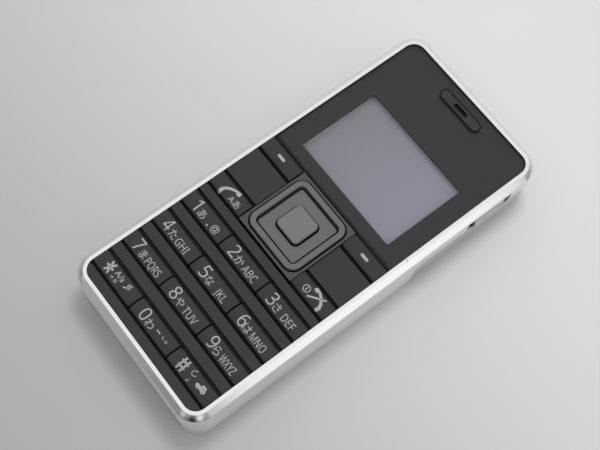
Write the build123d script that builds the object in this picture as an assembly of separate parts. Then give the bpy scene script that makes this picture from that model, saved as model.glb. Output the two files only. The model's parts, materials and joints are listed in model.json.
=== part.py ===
from build123d import *
import os

# Slim bar-style mobile phone, in millimetres, lying on its back.
# +Z points out of the screen, +Y towards the earpiece and +X to the right of someone reading it.
# The origin is the middle of the back face.

# Aluminium side frame
FRAME_WIDTH = 43.0
FRAME_LENGTH = 94.5
FRAME_HEIGHT = 13.9
FRAME_CORNER_RADIUS = 4.85
FRAME_WALL = 1.2
RIM_WIDTH = 0.8
RIM_THICKNESS = 1.2
EDGE_CHAMFER_WIDTH = 1.2
EDGE_CHAMFER_HEIGHT = 1.1
BAND_LENGTH = 35.8
BAND_DEPTH = 5.5
DEEP_CORNER_RADIUS = 2.2
BAND_CORNER_RADIUS = 1.5
BACK_FLANGE_THICKNESS = 1.0
BACK_EDGE_RADIUS = 0.5

# Clearances
FIT_GAP = 0.12
SEAT_GAP = 0.05
KEY_GAP = 0.3
COLUMN_GAP = 0.3
SLIDE_GAP = 0.2
PRESS_MARGIN = 0.08
CUT_OVERRUN = 1.0

# Front panel, measured upwards from the lower edge of the frame opening
PANEL_DROP = 0.1
BOTTOM_RIB = 2.125
KEY_SLOT = 5.2
ROW_PITCH = 7.5
ROW_COUNT = 4
COLUMN_COUNT = 3
CALL_RIB = 2.0
SIDE_PLATE = 8.35
GROOVE_WIDTH = 0.425
RIB_THICKNESS = 1.2
WEB_THICKNESS = 1.0

# Key caps with a crowned back
KEY_RISE = 0.6
KEY_LOW_FLANK = 0.45
KEY_LOW_EDGE_RISE = 0.25
KEY_HIGH_FLANK = 0.65
KEY_HIGH_EDGE_RISE = 0.35
KEY_FOOT_DROP = 0.6
KEY_END_RADIUS = 0.15
KEY_LIP = 0.5
KEY_LIP_THICKNESS = 0.6
KEY_LIP_ROOM = 0.25
KEY_TRAVEL = 0.4
STEM_RADIUS = 1.5

# Navigation pad
NAV_GAP = 0.2
NAV_END_ROOM = 0.375
NAV_SURROUND_RISE = 0.1
NAV_BEZEL_WIDTH = 0.6
NAV_RING_RADIUS = 2.4
NAV_RING_GAP = 0.35
NAV_RING_BAND = 1.25
NAV_RING_RISE = 0.75
NAV_RING_EDGE = 0.25
NAV_DISH_DEPTH = 0.95
NAV_DISH_RADIUS = 1.2
NAV_GROOVE_WIDTH = 0.7
NAV_GROOVE_DEPTH = 0.5
NAV_FLOOR_THICKNESS = 0.9
NAV_SKIRT_DEPTH = 2.4
NAV_WALL = 1.0
NAV_NUB_RADIUS = 1.3
NAV_PAD_WIDTH = 2.6
NAV_PAD_DEPTH = 1.8
NAV_PAD_THICKNESS = 0.8
NAV_PAD_ROOM = 0.35
CENTRE_KEY_SIZE = 6.75
CENTRE_KEY_GAP = 0.35
CENTRE_KEY_RADIUS = 1.1
CENTRE_KEY_RISE = 0.85
CENTRE_KEY_EDGE = 0.25
CENTRE_KEY_DEPTH = 2.6

# Display stack, from the front surface down
WINDOW_THICKNESS = 0.8
MASK_THICKNESS = 0.1
LEDGE_THICKNESS = 0.9
LCD_GASKET_THICKNESS = 0.4
LCD_GASKET_WIDTH = 1.0
LCD_THICKNESS = 1.7
BACKLIGHT_THICKNESS = 1.5
TRAY_THICKNESS = 0.2
APERTURE_SIDE_MARGIN = 4.875
APERTURE_TOP_MARGIN = 16.15
APERTURE_RADIUS = 0.5
APERTURE_LOW_MARGIN = 2.9
LEDGE_SETBACK = 0.35
LCD_SIDE_BORDER = 1.6
LCD_LOW_BORDER = 1.5
LCD_TOP_BORDER = 4.0
TRAY_GAP = 0.1
FLEX_WIDTH = 12.0
FLEX_THICKNESS = 0.15
FLEX_REACH = 1.4
FLEX_BEND_RADIUS = 0.5
CONNECTOR_WIDTH = 13.0
CONNECTOR_DEPTH = 3.0
CONNECTOR_HEIGHT = 0.9

# Earpiece
EARPIECE_TOP_MARGIN = 3.5
EARPIECE_LENGTH = 12.6
EARPIECE_HEIGHT = 2.85
EARPIECE_DROP = 0.2
EARPIECE_GAP = 0.3
SOUND_SLOT_LENGTH = 3.95
SOUND_SLOT_HEIGHT = 1.0
MESH_MARGIN = 0.6
MESH_THICKNESS = 0.1
RECEIVER_LENGTH = 10.0
RECEIVER_WIDTH = 5.2
RECEIVER_HEIGHT = 2.6
RECEIVER_RADIUS = 1.5

# Keypad electronics
BOARD_THICKNESS = 0.8
BOARD_SIDE_GAP = 2.1
BOARD_END_GAP = 0.9
BOARD_RADIUS = 2.0
FILM_THICKNESS = 0.1
DOME_RADIUS = 2.0
DOME_HEIGHT = 0.3
DOME_RING_GAP = 0.2
MAT_HEIGHT = 1.1
MAT_SHEET = 0.5
MAT_SKIRT = 1.0
MAT_SIDE_GAP = 0.6
MAT_HOLE_GAP = 0.35

# Inner chassis, screws and battery bay
CHASSIS_FLOOR = 1.6
SCREW_RADIUS = 0.7
SCREW_LENGTH = 4.0
SCREW_HEAD_RADIUS = 1.05
SCREW_HEAD_HEIGHT = 0.7
SCREW_GAP = 0.02
SCREW_HOLE_GAP = 0.15
BOSS_RADIUS = 1.15
BOSS_HOLE_GAP = 0.25
LOW_SCREW_SIDE_MARGIN = 7.5
LOW_SCREW_MARGIN = 0.75
TOP_SCREW_SIDE_MARGIN = 5.5
TOP_SCREW_MARGIN = 3.0
BATTERY_SIDE_MARGIN = 6.0
BATTERY_GAP = 0.25
BATTERY_CORNER_RADIUS = 1.2
BATTERY_EDGE_RADIUS = 0.6
BAY_LOW_WALL = 5.0
BAY_TOP_WALL = 2.4
CONTACT_LENGTH = 10.0
CONTACT_DEPTH = 1.5
CONTACT_FOOT_ROOM = 1.55
CONTACT_PIN_COUNT = 3
CONTACT_PIN_PITCH = 2.8
CONTACT_PIN_WIDTH = 1.2
SIM_LENGTH = 25.0
SIM_WIDTH = 15.0
SIM_THICKNESS = 0.76
SIM_CORNER_CUT = 3.0
SIM_LOW_MARGIN = 8.0
MIC_RADIUS = 1.6
MIC_HEIGHT = 1.5
MIC_MARGIN = 2.55
MIC_BOOT_WALL = 0.35
MIC_PORT_RADIUS = 0.45

# Sliding battery cover
COVER_SIDE_MARGIN = 5.1
COVER_DROP = 0.1
COVER_RUNNER = 0.8
COVER_RUNNER_THICKNESS = 0.6
COVER_LIP_HEIGHT = 4.0
GRIP_COUNT = 5
GRIP_PITCH = 1.5
GRIP_LENGTH = 12.0
GRIP_WIDTH = 0.7
GRIP_DEPTH = 0.3
GRIP_MARGIN = 9.0

# Upper rear cover
REAR_INSET = 0.25
REAR_WALL = 1.2
REAR_EDGE_RADIUS = 1.5
REAR_SEAM = 0.15
SPEAKER_LENGTH = 15.0
SPEAKER_WIDTH = 11.0
SPEAKER_ROOM = 0.15
SPEAKER_RADIUS = 2.0
SPEAKER_OFFSET = 8.5
SPEAKER_TOP_MARGIN = 13.0
GRILLE_COUNT = 5
GRILLE_PITCH = 1.8
GRILLE_LENGTH = 9.0
GRILLE_WIDTH = 0.9
MOTOR_ROOM = 0.4
MOTOR_LENGTH = 8.0
MOTOR_SIDE_MARGIN = 13.5
MOTOR_TOP_MARGIN = 10.0
MOTOR_SHAFT_RADIUS = 0.4
MOTOR_SHAFT_GAP = 0.05
MOTOR_SHAFT_LENGTH = 1.5
MOTOR_LIFT = 0.4
SADDLE_LENGTH = 1.6
SADDLE_WALL = 0.7
WEIGHT_STEP = 0.1
WEIGHT_LENGTH = 3.0
WEIGHT_GAP = 0.4
WEIGHT_HUB_RADIUS = 0.8
ANTENNA_SIDE_MARGIN = 7.5
ANTENNA_FOOT_ROOM = 1.6
ANTENNA_THICKNESS = 0.2
ANTENNA_SLOT_COUNT = 4
ANTENNA_SLOT_PITCH = 5.6
ANTENNA_SLOT_WIDTH = 0.8
ANTENNA_BRIDGE = 1.2
SHIELD_HEIGHT = 1.4
SHIELD_SIDE_MARGIN = 9.0
SHIELD_LENGTH = 12.0
SHIELD_COUNT = 2
SHIELD_SPACING = 14.0
SHIELD_LOW_MARGIN = 2.0
SHIELD_ROOM = 0.3
SHIELD_EDGE = 0.3

# Side key, on the right, and charging port, on the left
SIDE_PART_TOP_MARGIN = 14.9
SIDE_SLOT_LENGTH = 12.2
SIDE_SLOT_DEPTH = 1.2
SIDE_NOTCH_HEIGHT = 3.2
SIDE_KEY_LENGTH = 8.4
SIDE_KEY_ROOM = 0.25
SIDE_KEY_RIDGE_HEIGHT = 2.35
SIDE_KEY_PROUD = 0.35
SIDE_KEY_EDGE = 0.15
SIDE_KEY_LIP_HEIGHT = 2.35
SIDE_KEY_LIP = 0.5
SIDE_KEY_LIP_THICKNESS = 0.75
SIDE_KEY_TRAVEL = 0.3
SWITCH_LENGTH = 6.0
SWITCH_DEPTH = 3.0
SWITCH_HEIGHT = 1.5
SWITCH_PLUNGER_RADIUS = 0.5
PORT_WIDTH = 8.2
PORT_HEIGHT = 2.4
PORT_SHELL = 0.4
PORT_DEPTH = 4.5
PORT_LENGTH = 6.2
PORT_TONGUE_THICKNESS = 0.7
PORT_WALL_GAP = 0.2
FLAP_LENGTH = 12.0
FLAP_HEIGHT = 3.9
FLAP_THICKNESS = 0.7
FLAP_GAP = 0.1
FLAP_STRAP = 0.3
FLAP_RELIEF = 0.9
FLAP_TONGUE_DEPTH = 0.8
FLAP_TONGUE_GAP = 0.35
FLAP_CORNER_RADIUS = 0.6

# Outlines that follow from the frame
EDGE_INSET = RIM_WIDTH + EDGE_CHAMFER_WIDTH
OPENING_WIDTH = FRAME_WIDTH - 2 * EDGE_INSET
OPENING_LENGTH = FRAME_LENGTH - 2 * EDGE_INSET
OPENING_RADIUS = FRAME_CORNER_RADIUS - EDGE_INSET
CAVITY_WIDTH = FRAME_WIDTH - 2 * FRAME_WALL
CAVITY_LENGTH = FRAME_LENGTH - 2 * FRAME_WALL
CAVITY_RADIUS = FRAME_CORNER_RADIUS - FRAME_WALL
PANEL_WIDTH = OPENING_WIDTH - 2 * FIT_GAP
PANEL_LENGTH = OPENING_LENGTH - 2 * FIT_GAP
PANEL_RADIUS = OPENING_RADIUS - FIT_GAP
REAR_INNER_INSET = REAR_INSET + REAR_WALL
APERTURE_WIDTH = OPENING_WIDTH - 2 * APERTURE_SIDE_MARGIN
BATTERY_WIDTH = FRAME_WIDTH - 2 * BATTERY_SIDE_MARGIN
COVER_WIDTH = FRAME_WIDTH - 2 * COVER_SIDE_MARGIN
SHIELD_WIDTH = FRAME_WIDTH - 2 * SHIELD_SIDE_MARGIN
ANTENNA_LENGTH = FRAME_WIDTH - 2 * ANTENNA_SIDE_MARGIN

# Heights, from the screen down to the back
PANEL_TOP = FRAME_HEIGHT - PANEL_DROP
RIM_UNDER = FRAME_HEIGHT - RIM_THICKNESS
RIB_UNDER = PANEL_TOP - RIB_THICKNESS
WINDOW_UNDER = PANEL_TOP - WINDOW_THICKNESS
LEDGE_TOP = WINDOW_UNDER - MASK_THICKNESS
LEDGE_UNDER = LEDGE_TOP - LEDGE_THICKNESS
LCD_TOP = LEDGE_UNDER - LCD_GASKET_THICKNESS
LCD_UNDER = LCD_TOP - LCD_THICKNESS
BACKLIGHT_UNDER = LCD_UNDER - BACKLIGHT_THICKNESS
BOARD_TOP = BACKLIGHT_UNDER - TRAY_THICKNESS
BOARD_UNDER = BOARD_TOP - BOARD_THICKNESS
BAY_CEILING = BOARD_UNDER - CHASSIS_FLOOR
FILM_TOP = BOARD_TOP + FILM_THICKNESS
MAT_TOP = BOARD_TOP + MAT_HEIGHT
STEM_FOOT = BOARD_TOP + DOME_HEIGHT + KEY_TRAVEL + PRESS_MARGIN
LIP_TOP = RIB_UNDER - SEAT_GAP
LIP_UNDER = LIP_TOP - KEY_LIP_THICKNESS
BAND_Z = FRAME_HEIGHT - BAND_DEPTH
RUNNER_UNDER = BACK_FLANGE_THICKNESS + SEAT_GAP
RUNNER_TOP = RUNNER_UNDER + COVER_RUNNER_THICKNESS
CONTACT_HEIGHT = BAY_CEILING - RUNNER_TOP - CONTACT_FOOT_ROOM
PORT_SHELL_HEIGHT = PORT_HEIGHT + 2 * PORT_SHELL
SPEAKER_LOW = REAR_WALL + SEAT_GAP
SPEAKER_HEIGHT = BOARD_UNDER - PORT_SHELL_HEIGHT - SPEAKER_ROOM - SPEAKER_LOW
MOTOR_RADIUS = (BOARD_UNDER - SHIELD_HEIGHT - MOTOR_ROOM - MOTOR_LIFT - REAR_WALL) / 2
MOTOR_Z = REAR_WALL + MOTOR_LIFT + MOTOR_RADIUS
WEIGHT_RADIUS = MOTOR_RADIUS - WEIGHT_STEP
ANTENNA_HEIGHT = BOARD_UNDER - REAR_WALL - ANTENNA_FOOT_ROOM
ANTENNA_SLOT_DEPTH = ANTENNA_HEIGHT - ANTENNA_BRIDGE

# Places along the phone
PANEL_LOW = -OPENING_LENGTH / 2
ROW_LOWS = [PANEL_LOW + BOTTOM_RIB + row * ROW_PITCH for row in range(ROW_COUNT)]
CALL_LOW = ROW_LOWS[-1] + KEY_SLOT + CALL_RIB
PLATE_LOW = CALL_LOW + KEY_SLOT
SOFT_LOW = PLATE_LOW + SIDE_PLATE
SOFT_HIGH = SOFT_LOW + KEY_SLOT
WINDOW_LOW = SOFT_HIGH + GROOVE_WIDTH
NAV_LENGTH = SOFT_HIGH - CALL_LOW
NAV_OPENING = NAV_LENGTH - 2 * NAV_END_ROOM
NAV_Y = (SOFT_HIGH + CALL_LOW) / 2
NAV_RING_SIZE = NAV_OPENING - 2 * (NAV_GAP + NAV_BEZEL_WIDTH + NAV_RING_GAP)
NAV_NUB_REACH = NAV_RING_SIZE / 2 - NAV_WALL - NAV_PAD_ROOM - NAV_PAD_DEPTH / 2
EARPIECE_Y = OPENING_LENGTH / 2 - EARPIECE_TOP_MARGIN
APERTURE_LOW = WINDOW_LOW + APERTURE_LOW_MARGIN
APERTURE_HIGH = OPENING_LENGTH / 2 - APERTURE_TOP_MARGIN
APERTURE_HEIGHT = APERTURE_HIGH - APERTURE_LOW
APERTURE_Y = (APERTURE_HIGH + APERTURE_LOW) / 2
LCD_LOW = APERTURE_LOW - LCD_LOW_BORDER
LCD_HIGH = APERTURE_HIGH + LCD_TOP_BORDER
LCD_WIDTH = APERTURE_WIDTH + 2 * LCD_SIDE_BORDER
LCD_LENGTH = LCD_HIGH - LCD_LOW
LCD_Y = (LCD_HIGH + LCD_LOW) / 2
LIP_REACH = KEY_LIP - KEY_GAP + KEY_LIP_ROOM
KEY_WIDTH = (PANEL_WIDTH - (COLUMN_COUNT - 1) * COLUMN_GAP) / COLUMN_COUNT
SIDE_KEYS_X = (NAV_OPENING + PANEL_WIDTH) / 4
SIDE_KEYS_WIDTH = (PANEL_WIDTH - NAV_OPENING) / 2
DEEP_END = FRAME_LENGTH / 2 - BAND_LENGTH
BACK_LOW = -FRAME_LENGTH / 2
BAY_LOW = BACK_LOW + FRAME_WALL + BAY_LOW_WALL
BAY_HIGH = DEEP_END - BAY_TOP_WALL
BAY_Y = (BAY_LOW + BAY_HIGH) / 2
MIC_Y = BACK_LOW + FRAME_WALL + MIC_MARGIN
REAR_LOW = DEEP_END + REAR_SEAM
REAR_TOP = FRAME_LENGTH / 2 - REAR_INNER_INSET
REAR_SIDE = FRAME_WIDTH / 2 - REAR_INSET
SIDE_PART_Y = FRAME_LENGTH / 2 - SIDE_PART_TOP_MARGIN
REAR_RIM = BAND_Z - SEAT_GAP
SIDE_SLOT_LOW = REAR_RIM - SIDE_SLOT_DEPTH
SIDE_SLOT_HIGH = BAND_Z + SIDE_NOTCH_HEIGHT
PORT_SHELL_WIDTH = PORT_WIDTH + 2 * PORT_SHELL
PORT_Z = BOARD_UNDER - PORT_SHELL_HEIGHT / 2
FLAP_LOW = SIDE_PART_Y - FLAP_LENGTH / 2
MOTOR_Y = REAR_TOP - MOTOR_TOP_MARGIN
MOTOR_OFFSET = FRAME_WIDTH / 2 - MOTOR_SIDE_MARGIN
SPEAKER_Y = REAR_TOP - SPEAKER_TOP_MARGIN

# The two low, two middle and two top screws that hold the chassis to the front panel
SCREW_PLACES = [
    (side * x, y)
    for x, y in (
        (FRAME_WIDTH / 2 - LOW_SCREW_SIDE_MARGIN, PANEL_LOW + LOW_SCREW_MARGIN),
        (SIDE_KEYS_X, NAV_Y),
        (FRAME_WIDTH / 2 - TOP_SCREW_SIDE_MARGIN, OPENING_LENGTH / 2 - TOP_SCREW_MARGIN),
    )
    for side in (-1, 1)
]

# Each number key's name, by row from the bottom and by column from the left
NUMBER_KEYS = [
    ["key_star", "key_0", "key_hash"],
    ["key_7", "key_8", "key_9"],
    ["key_4", "key_5", "key_6"],
    ["key_1", "key_2", "key_3"],
]

# Centre of every press point that has a snap dome under it
NUMBER_PLACES = {
    name: ((column - (COLUMN_COUNT - 1) / 2) * (KEY_WIDTH + COLUMN_GAP), ROW_LOWS[row] + KEY_SLOT / 2)
    for row, names in enumerate(NUMBER_KEYS)
    for column, name in enumerate(names)
}
SIDE_KEY_PLACES = {
    "call_key": (-SIDE_KEYS_X, CALL_LOW + KEY_SLOT / 2),
    "end_key": (SIDE_KEYS_X, CALL_LOW + KEY_SLOT / 2),
    "soft_key_left": (-SIDE_KEYS_X, SOFT_LOW + KEY_SLOT / 2),
    "soft_key_right": (SIDE_KEYS_X, SOFT_LOW + KEY_SLOT / 2),
}
NAV_UP_DOWN = [(0, NAV_Y - NAV_NUB_REACH), (0, NAV_Y + NAV_NUB_REACH)]
NAV_LEFT_RIGHT = [(-NAV_NUB_REACH, NAV_Y), (NAV_NUB_REACH, NAV_Y)]
PRESS_PLACES = [
    *NUMBER_PLACES.values(),
    *SIDE_KEY_PLACES.values(),
    *NAV_UP_DOWN,
    *NAV_LEFT_RIGHT,
    (0, NAV_Y),
]


def slab(width, length, z_low, z_high, x=0, y=0, radius=0):
    """Upright block centred on (x, y), with rounded corners where a radius is given."""
    outline = RectangleRounded(width, length, radius) if radius else Rectangle(width, length)
    return extrude(Pos(x, y, z_low) * outline, amount=z_high - z_low)


def span(x_low, x_high, y_low, y_high, z_low, z_high):
    """Block between two limits along each axis."""
    middle_x = (x_low + x_high) / 2
    middle_y = (y_low + y_high) / 2
    return slab(x_high - x_low, y_high - y_low, z_low, z_high, middle_x, middle_y)


def post(radius, z_low, z_high, x=0, y=0):
    """Upright round post."""
    return extrude(Pos(x, y, z_low) * Circle(radius), amount=z_high - z_low)


def posts(radius, z_low, z_high, places):
    """The same post at each place."""
    return [post(radius, z_low, z_high, x, y) for x, y in places]


def stadium(length, height, z_low, z_high, y):
    """Block with two fully round ends, lying across the phone."""
    return extrude(Pos(0, y, z_low) * SlotOverall(length, height), amount=z_high - z_low)


def cross_bar(face, width, x=0):
    """Profile drawn in Y and Z, drawn out across the phone about x."""
    return Pos(x, 0, 0) * extrude(Plane.YZ * face, amount=width / 2, both=True)


def edges_at(shape, axis, place):
    """Edges whose middle lies at one place along an axis."""
    return shape.edges().filter_by_position(axis, place - SEAT_GAP / 2, place + SEAT_GAP / 2)


def make_side_frame():
    """Aluminium surround: deep walls round the keypad, a shallow band round the display."""
    shoulder = FRAME_HEIGHT - EDGE_CHAMFER_HEIGHT
    frame = slab(FRAME_WIDTH, FRAME_LENGTH, 0, shoulder, radius=FRAME_CORNER_RADIUS)
    frame = fillet(edges_at(frame, Axis.Z, 0), BACK_EDGE_RADIUS)
    crown_width = FRAME_WIDTH - 2 * EDGE_CHAMFER_WIDTH
    crown_length = FRAME_LENGTH - 2 * EDGE_CHAMFER_WIDTH
    crown_radius = FRAME_CORNER_RADIUS - EDGE_CHAMFER_WIDTH
    frame += loft([
        Pos(0, 0, shoulder) * RectangleRounded(FRAME_WIDTH, FRAME_LENGTH, FRAME_CORNER_RADIUS),
        Pos(0, 0, FRAME_HEIGHT) * RectangleRounded(crown_width, crown_length, crown_radius),
    ])
    frame -= slab(
        OPENING_WIDTH, OPENING_LENGTH, RIM_UNDER, FRAME_HEIGHT + CUT_OVERRUN, radius=OPENING_RADIUS
    )
    frame -= slab(CAVITY_WIDTH, CAVITY_LENGTH, BACK_FLANGE_THICKNESS, RIM_UNDER, radius=CAVITY_RADIUS)

    # Below the band the rear cover takes the frame's place, with a rounded step between the two.
    far_end = FRAME_LENGTH / 2 + CUT_OVERRUN
    heel = DEEP_END - DEEP_CORNER_RADIUS
    below = make_face([
        Polyline(
            (heel, 0), (heel, -CUT_OVERRUN), (far_end, -CUT_OVERRUN), (far_end, BAND_Z),
            (DEEP_END, BAND_Z), (DEEP_END, DEEP_CORNER_RADIUS),
        ),
        TangentArc((DEEP_END, DEEP_CORNER_RADIUS), (heel, 0), tangent=(0, -1)),
    ])
    below = fillet(below.vertices().sort_by_distance((DEEP_END, BAND_Z))[0], BAND_CORNER_RADIUS)
    frame -= cross_bar(below, FRAME_WIDTH + CUT_OVERRUN)

    # The side key's slot is cut up into the band.
    wall_inner = FRAME_WIDTH / 2 - FRAME_WALL
    half_slot = SIDE_SLOT_LENGTH / 2
    frame -= span(
        wall_inner, FRAME_WIDTH / 2 + CUT_OVERRUN, SIDE_PART_Y - half_slot, SIDE_PART_Y + half_slot,
        BAND_Z, SIDE_SLOT_HIGH,
    )

    # The battery cover slides in a stepped slot that is open at the lower end.
    slot = COVER_WIDTH + 2 * SLIDE_GAP
    frame -= span(-slot / 2, slot / 2, BACK_LOW - CUT_OVERRUN, DEEP_END, -CUT_OVERRUN, BACK_FLANGE_THICKNESS)
    mouth = slot + 2 * COVER_RUNNER
    frame -= span(
        -mouth / 2, mouth / 2, BACK_LOW - CUT_OVERRUN, BACK_LOW + FRAME_WALL,
        BACK_FLANGE_THICKNESS, COVER_LIP_HEIGHT + SLIDE_GAP,
    )
    return frame


def key_rooms():
    """Slots that the key rows show through, with the wider rooms below for their lips."""
    rooms = []
    for row_low in ROW_LOWS:
        rooms.append((-OPENING_WIDTH / 2, OPENING_WIDTH / 2, row_low))
    for row_low in (CALL_LOW, SOFT_LOW):
        rooms.append((-OPENING_WIDTH / 2, -NAV_OPENING / 2, row_low))
        rooms.append((NAV_OPENING / 2, OPENING_WIDTH / 2, row_low))
    cuts = []
    for x_low, x_high, row_low in rooms:
        row_high = row_low + KEY_SLOT
        cuts.append(span(x_low, x_high, row_low, row_high, BOARD_UNDER, PANEL_TOP + CUT_OVERRUN))
        cuts.append(span(x_low, x_high, row_low - LIP_REACH, row_high + LIP_REACH, BOARD_UNDER, RIB_UNDER))
    return cuts


def make_front_panel():
    """Moulded panel: ribs between the key rows, blank plates beside the pad and the display's ledge."""
    skirt_width = CAVITY_WIDTH - 2 * FIT_GAP
    skirt_length = CAVITY_LENGTH - 2 * FIT_GAP
    skirt_top = RIM_UNDER - SEAT_GAP
    panel = slab(skirt_width, skirt_length, MAT_TOP, skirt_top, radius=CAVITY_RADIUS - FIT_GAP)
    panel += slab(PANEL_WIDTH, PANEL_LENGTH, skirt_top, PANEL_TOP, radius=PANEL_RADIUS)
    panel -= key_rooms()
    panel -= slab(NAV_OPENING, NAV_LENGTH, BOARD_UNDER, PANEL_TOP + CUT_OVERRUN, y=NAV_Y)

    # The window lies in a recess that starts as an open groove above the soft keys.
    recess_high = OPENING_LENGTH / 2 + CUT_OVERRUN
    panel -= span(
        -OPENING_WIDTH / 2, OPENING_WIDTH / 2, SOFT_HIGH, recess_high, LEDGE_TOP, PANEL_TOP + CUT_OVERRUN
    )
    pocket_low = SOFT_HIGH + LIP_REACH + WEB_THICKNESS
    pocket_high = OPENING_LENGTH / 2
    panel -= slab(
        OPENING_WIDTH, pocket_high - pocket_low, BOARD_UNDER, LEDGE_UNDER,
        y=(pocket_low + pocket_high) / 2, radius=OPENING_RADIUS,
    )
    hole_width = APERTURE_WIDTH + 2 * LEDGE_SETBACK
    hole_height = APERTURE_HEIGHT + 2 * LEDGE_SETBACK
    panel -= slab(hole_width, hole_height, LEDGE_UNDER, LEDGE_TOP, y=APERTURE_Y, radius=APERTURE_RADIUS)
    panel -= stadium(SOUND_SLOT_LENGTH, SOUND_SLOT_HEIGHT, LEDGE_UNDER, LEDGE_TOP, EARPIECE_Y)
    mesh_length = SOUND_SLOT_LENGTH + 2 * (MESH_MARGIN + SEAT_GAP)
    mesh_height = SOUND_SLOT_HEIGHT + 2 * (MESH_MARGIN + SEAT_GAP)
    panel -= stadium(mesh_length, mesh_height, LEDGE_TOP - MESH_THICKNESS, LEDGE_TOP, EARPIECE_Y)

    # Each blank plate is hollow underneath, round its screw boss.
    plate_width = SIDE_KEYS_WIDTH - 2 * WEB_THICKNESS
    plate_length = SIDE_PLATE - 2 * (LIP_REACH + WEB_THICKNESS)
    for side in (-1, 1):
        panel -= slab(plate_width, plate_length, MAT_TOP, RIB_UNDER, x=side * SIDE_KEYS_X, y=NAV_Y)
    panel -= post(MIC_PORT_RADIUS, MAT_TOP, RIB_UNDER, 0, MIC_Y)
    panel += posts(BOSS_RADIUS, BOARD_UNDER, RIB_UNDER, SCREW_PLACES)
    pilot_top = BAY_CEILING + SCREW_HEAD_HEIGHT + SCREW_LENGTH + PRESS_MARGIN
    panel -= posts(SCREW_RADIUS + SCREW_GAP, BOARD_UNDER, pilot_top, SCREW_PLACES)
    return panel


def window_outline(z_low, z_high):
    """Everything of the panel's outline above the groove."""
    outline = slab(PANEL_WIDTH, PANEL_LENGTH, z_low, z_high, radius=PANEL_RADIUS)
    keep = span(-PANEL_WIDTH / 2, PANEL_WIDTH / 2, WINDOW_LOW, PANEL_LENGTH / 2, z_low, z_high)
    return (outline & keep) - stadium(EARPIECE_LENGTH, EARPIECE_HEIGHT, z_low, z_high, EARPIECE_Y)


def make_window_mask():
    """Dark print and adhesive under the window, open over the display."""
    mask = window_outline(LEDGE_TOP, WINDOW_UNDER)
    return mask - slab(
        APERTURE_WIDTH, APERTURE_HEIGHT, LEDGE_TOP, WINDOW_UNDER, y=APERTURE_Y, radius=APERTURE_RADIUS
    )


def make_lcd_gasket():
    """Foam frame that keeps dust off the display."""
    inner_width = APERTURE_WIDTH + 2 * LEDGE_SETBACK
    inner_height = APERTURE_HEIGHT + 2 * LEDGE_SETBACK
    outer = slab(
        inner_width + 2 * LCD_GASKET_WIDTH, inner_height + 2 * LCD_GASKET_WIDTH, LCD_TOP, LEDGE_UNDER,
        y=APERTURE_Y,
    )
    return outer - slab(inner_width, inner_height, LCD_TOP, LEDGE_UNDER, y=APERTURE_Y)


def make_lcd_tray():
    """Pressed steel tray round the display, open at the end where the flex leaves."""
    rim_top = LCD_UNDER + LCD_THICKNESS / 2
    inner_width = LCD_WIDTH + 2 * TRAY_GAP
    inner_length = LCD_LENGTH + 2 * TRAY_GAP
    outer_width = inner_width + 2 * TRAY_THICKNESS
    outer_length = inner_length + 2 * TRAY_THICKNESS
    tray = slab(outer_width, outer_length, BOARD_TOP, rim_top, y=LCD_Y)
    tray -= slab(inner_width, inner_length, BACKLIGHT_UNDER, rim_top, y=LCD_Y)
    way_out = FLEX_WIDTH + 2 * SLIDE_GAP
    tray -= span(
        -way_out / 2, way_out / 2, LCD_Y, LCD_Y + outer_length, LCD_UNDER, rim_top
    )
    return tray


def flex_end():
    """How far up the phone the display's flex runs before it turns down."""
    return LCD_HIGH + TRAY_GAP + TRAY_THICKNESS + FLEX_REACH


def make_display_flex():
    """Ribbon from the display's upper edge down to its connector on the board."""
    z_high = LCD_UNDER + LCD_THICKNESS / 4
    z_low = BOARD_TOP + CONNECTOR_HEIGHT + FLEX_THICKNESS / 2
    run = FilletPolyline(
        (LCD_HIGH, z_high), (flex_end(), z_high), (flex_end(), z_low), (flex_end() + CONNECTOR_DEPTH, z_low),
        radius=FLEX_BEND_RADIUS,
    )
    return cross_bar(trace(run, FLEX_THICKNESS), FLEX_WIDTH)


def make_display_connector():
    """Low socket on the board under the end of the flex."""
    y = flex_end() + CONNECTOR_DEPTH / 2 + FLEX_BEND_RADIUS
    return slab(CONNECTOR_WIDTH, CONNECTOR_DEPTH, BOARD_TOP, BOARD_TOP + CONNECTOR_HEIGHT, y=y)


def make_earpiece_cover():
    """Sunken oval insert with the sound slot."""
    top = PANEL_TOP - EARPIECE_DROP
    length = EARPIECE_LENGTH - 2 * EARPIECE_GAP
    height = EARPIECE_HEIGHT - 2 * EARPIECE_GAP
    cover = stadium(length, height, LEDGE_TOP, top, EARPIECE_Y)
    return cover - stadium(SOUND_SLOT_LENGTH, SOUND_SLOT_HEIGHT, LEDGE_TOP, top, EARPIECE_Y)


def make_earpiece_mesh():
    """Fine cloth across the sound slot."""
    length = SOUND_SLOT_LENGTH + 2 * MESH_MARGIN
    height = SOUND_SLOT_HEIGHT + 2 * MESH_MARGIN
    return stadium(length, height, LEDGE_TOP - MESH_THICKNESS, LEDGE_TOP, EARPIECE_Y)


def make_receiver():
    """Earpiece capsule, sealed against the underside of the ledge."""
    low = LEDGE_UNDER - RECEIVER_HEIGHT
    return slab(RECEIVER_LENGTH, RECEIVER_WIDTH, low, LEDGE_UNDER, y=EARPIECE_Y, radius=RECEIVER_RADIUS)


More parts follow.
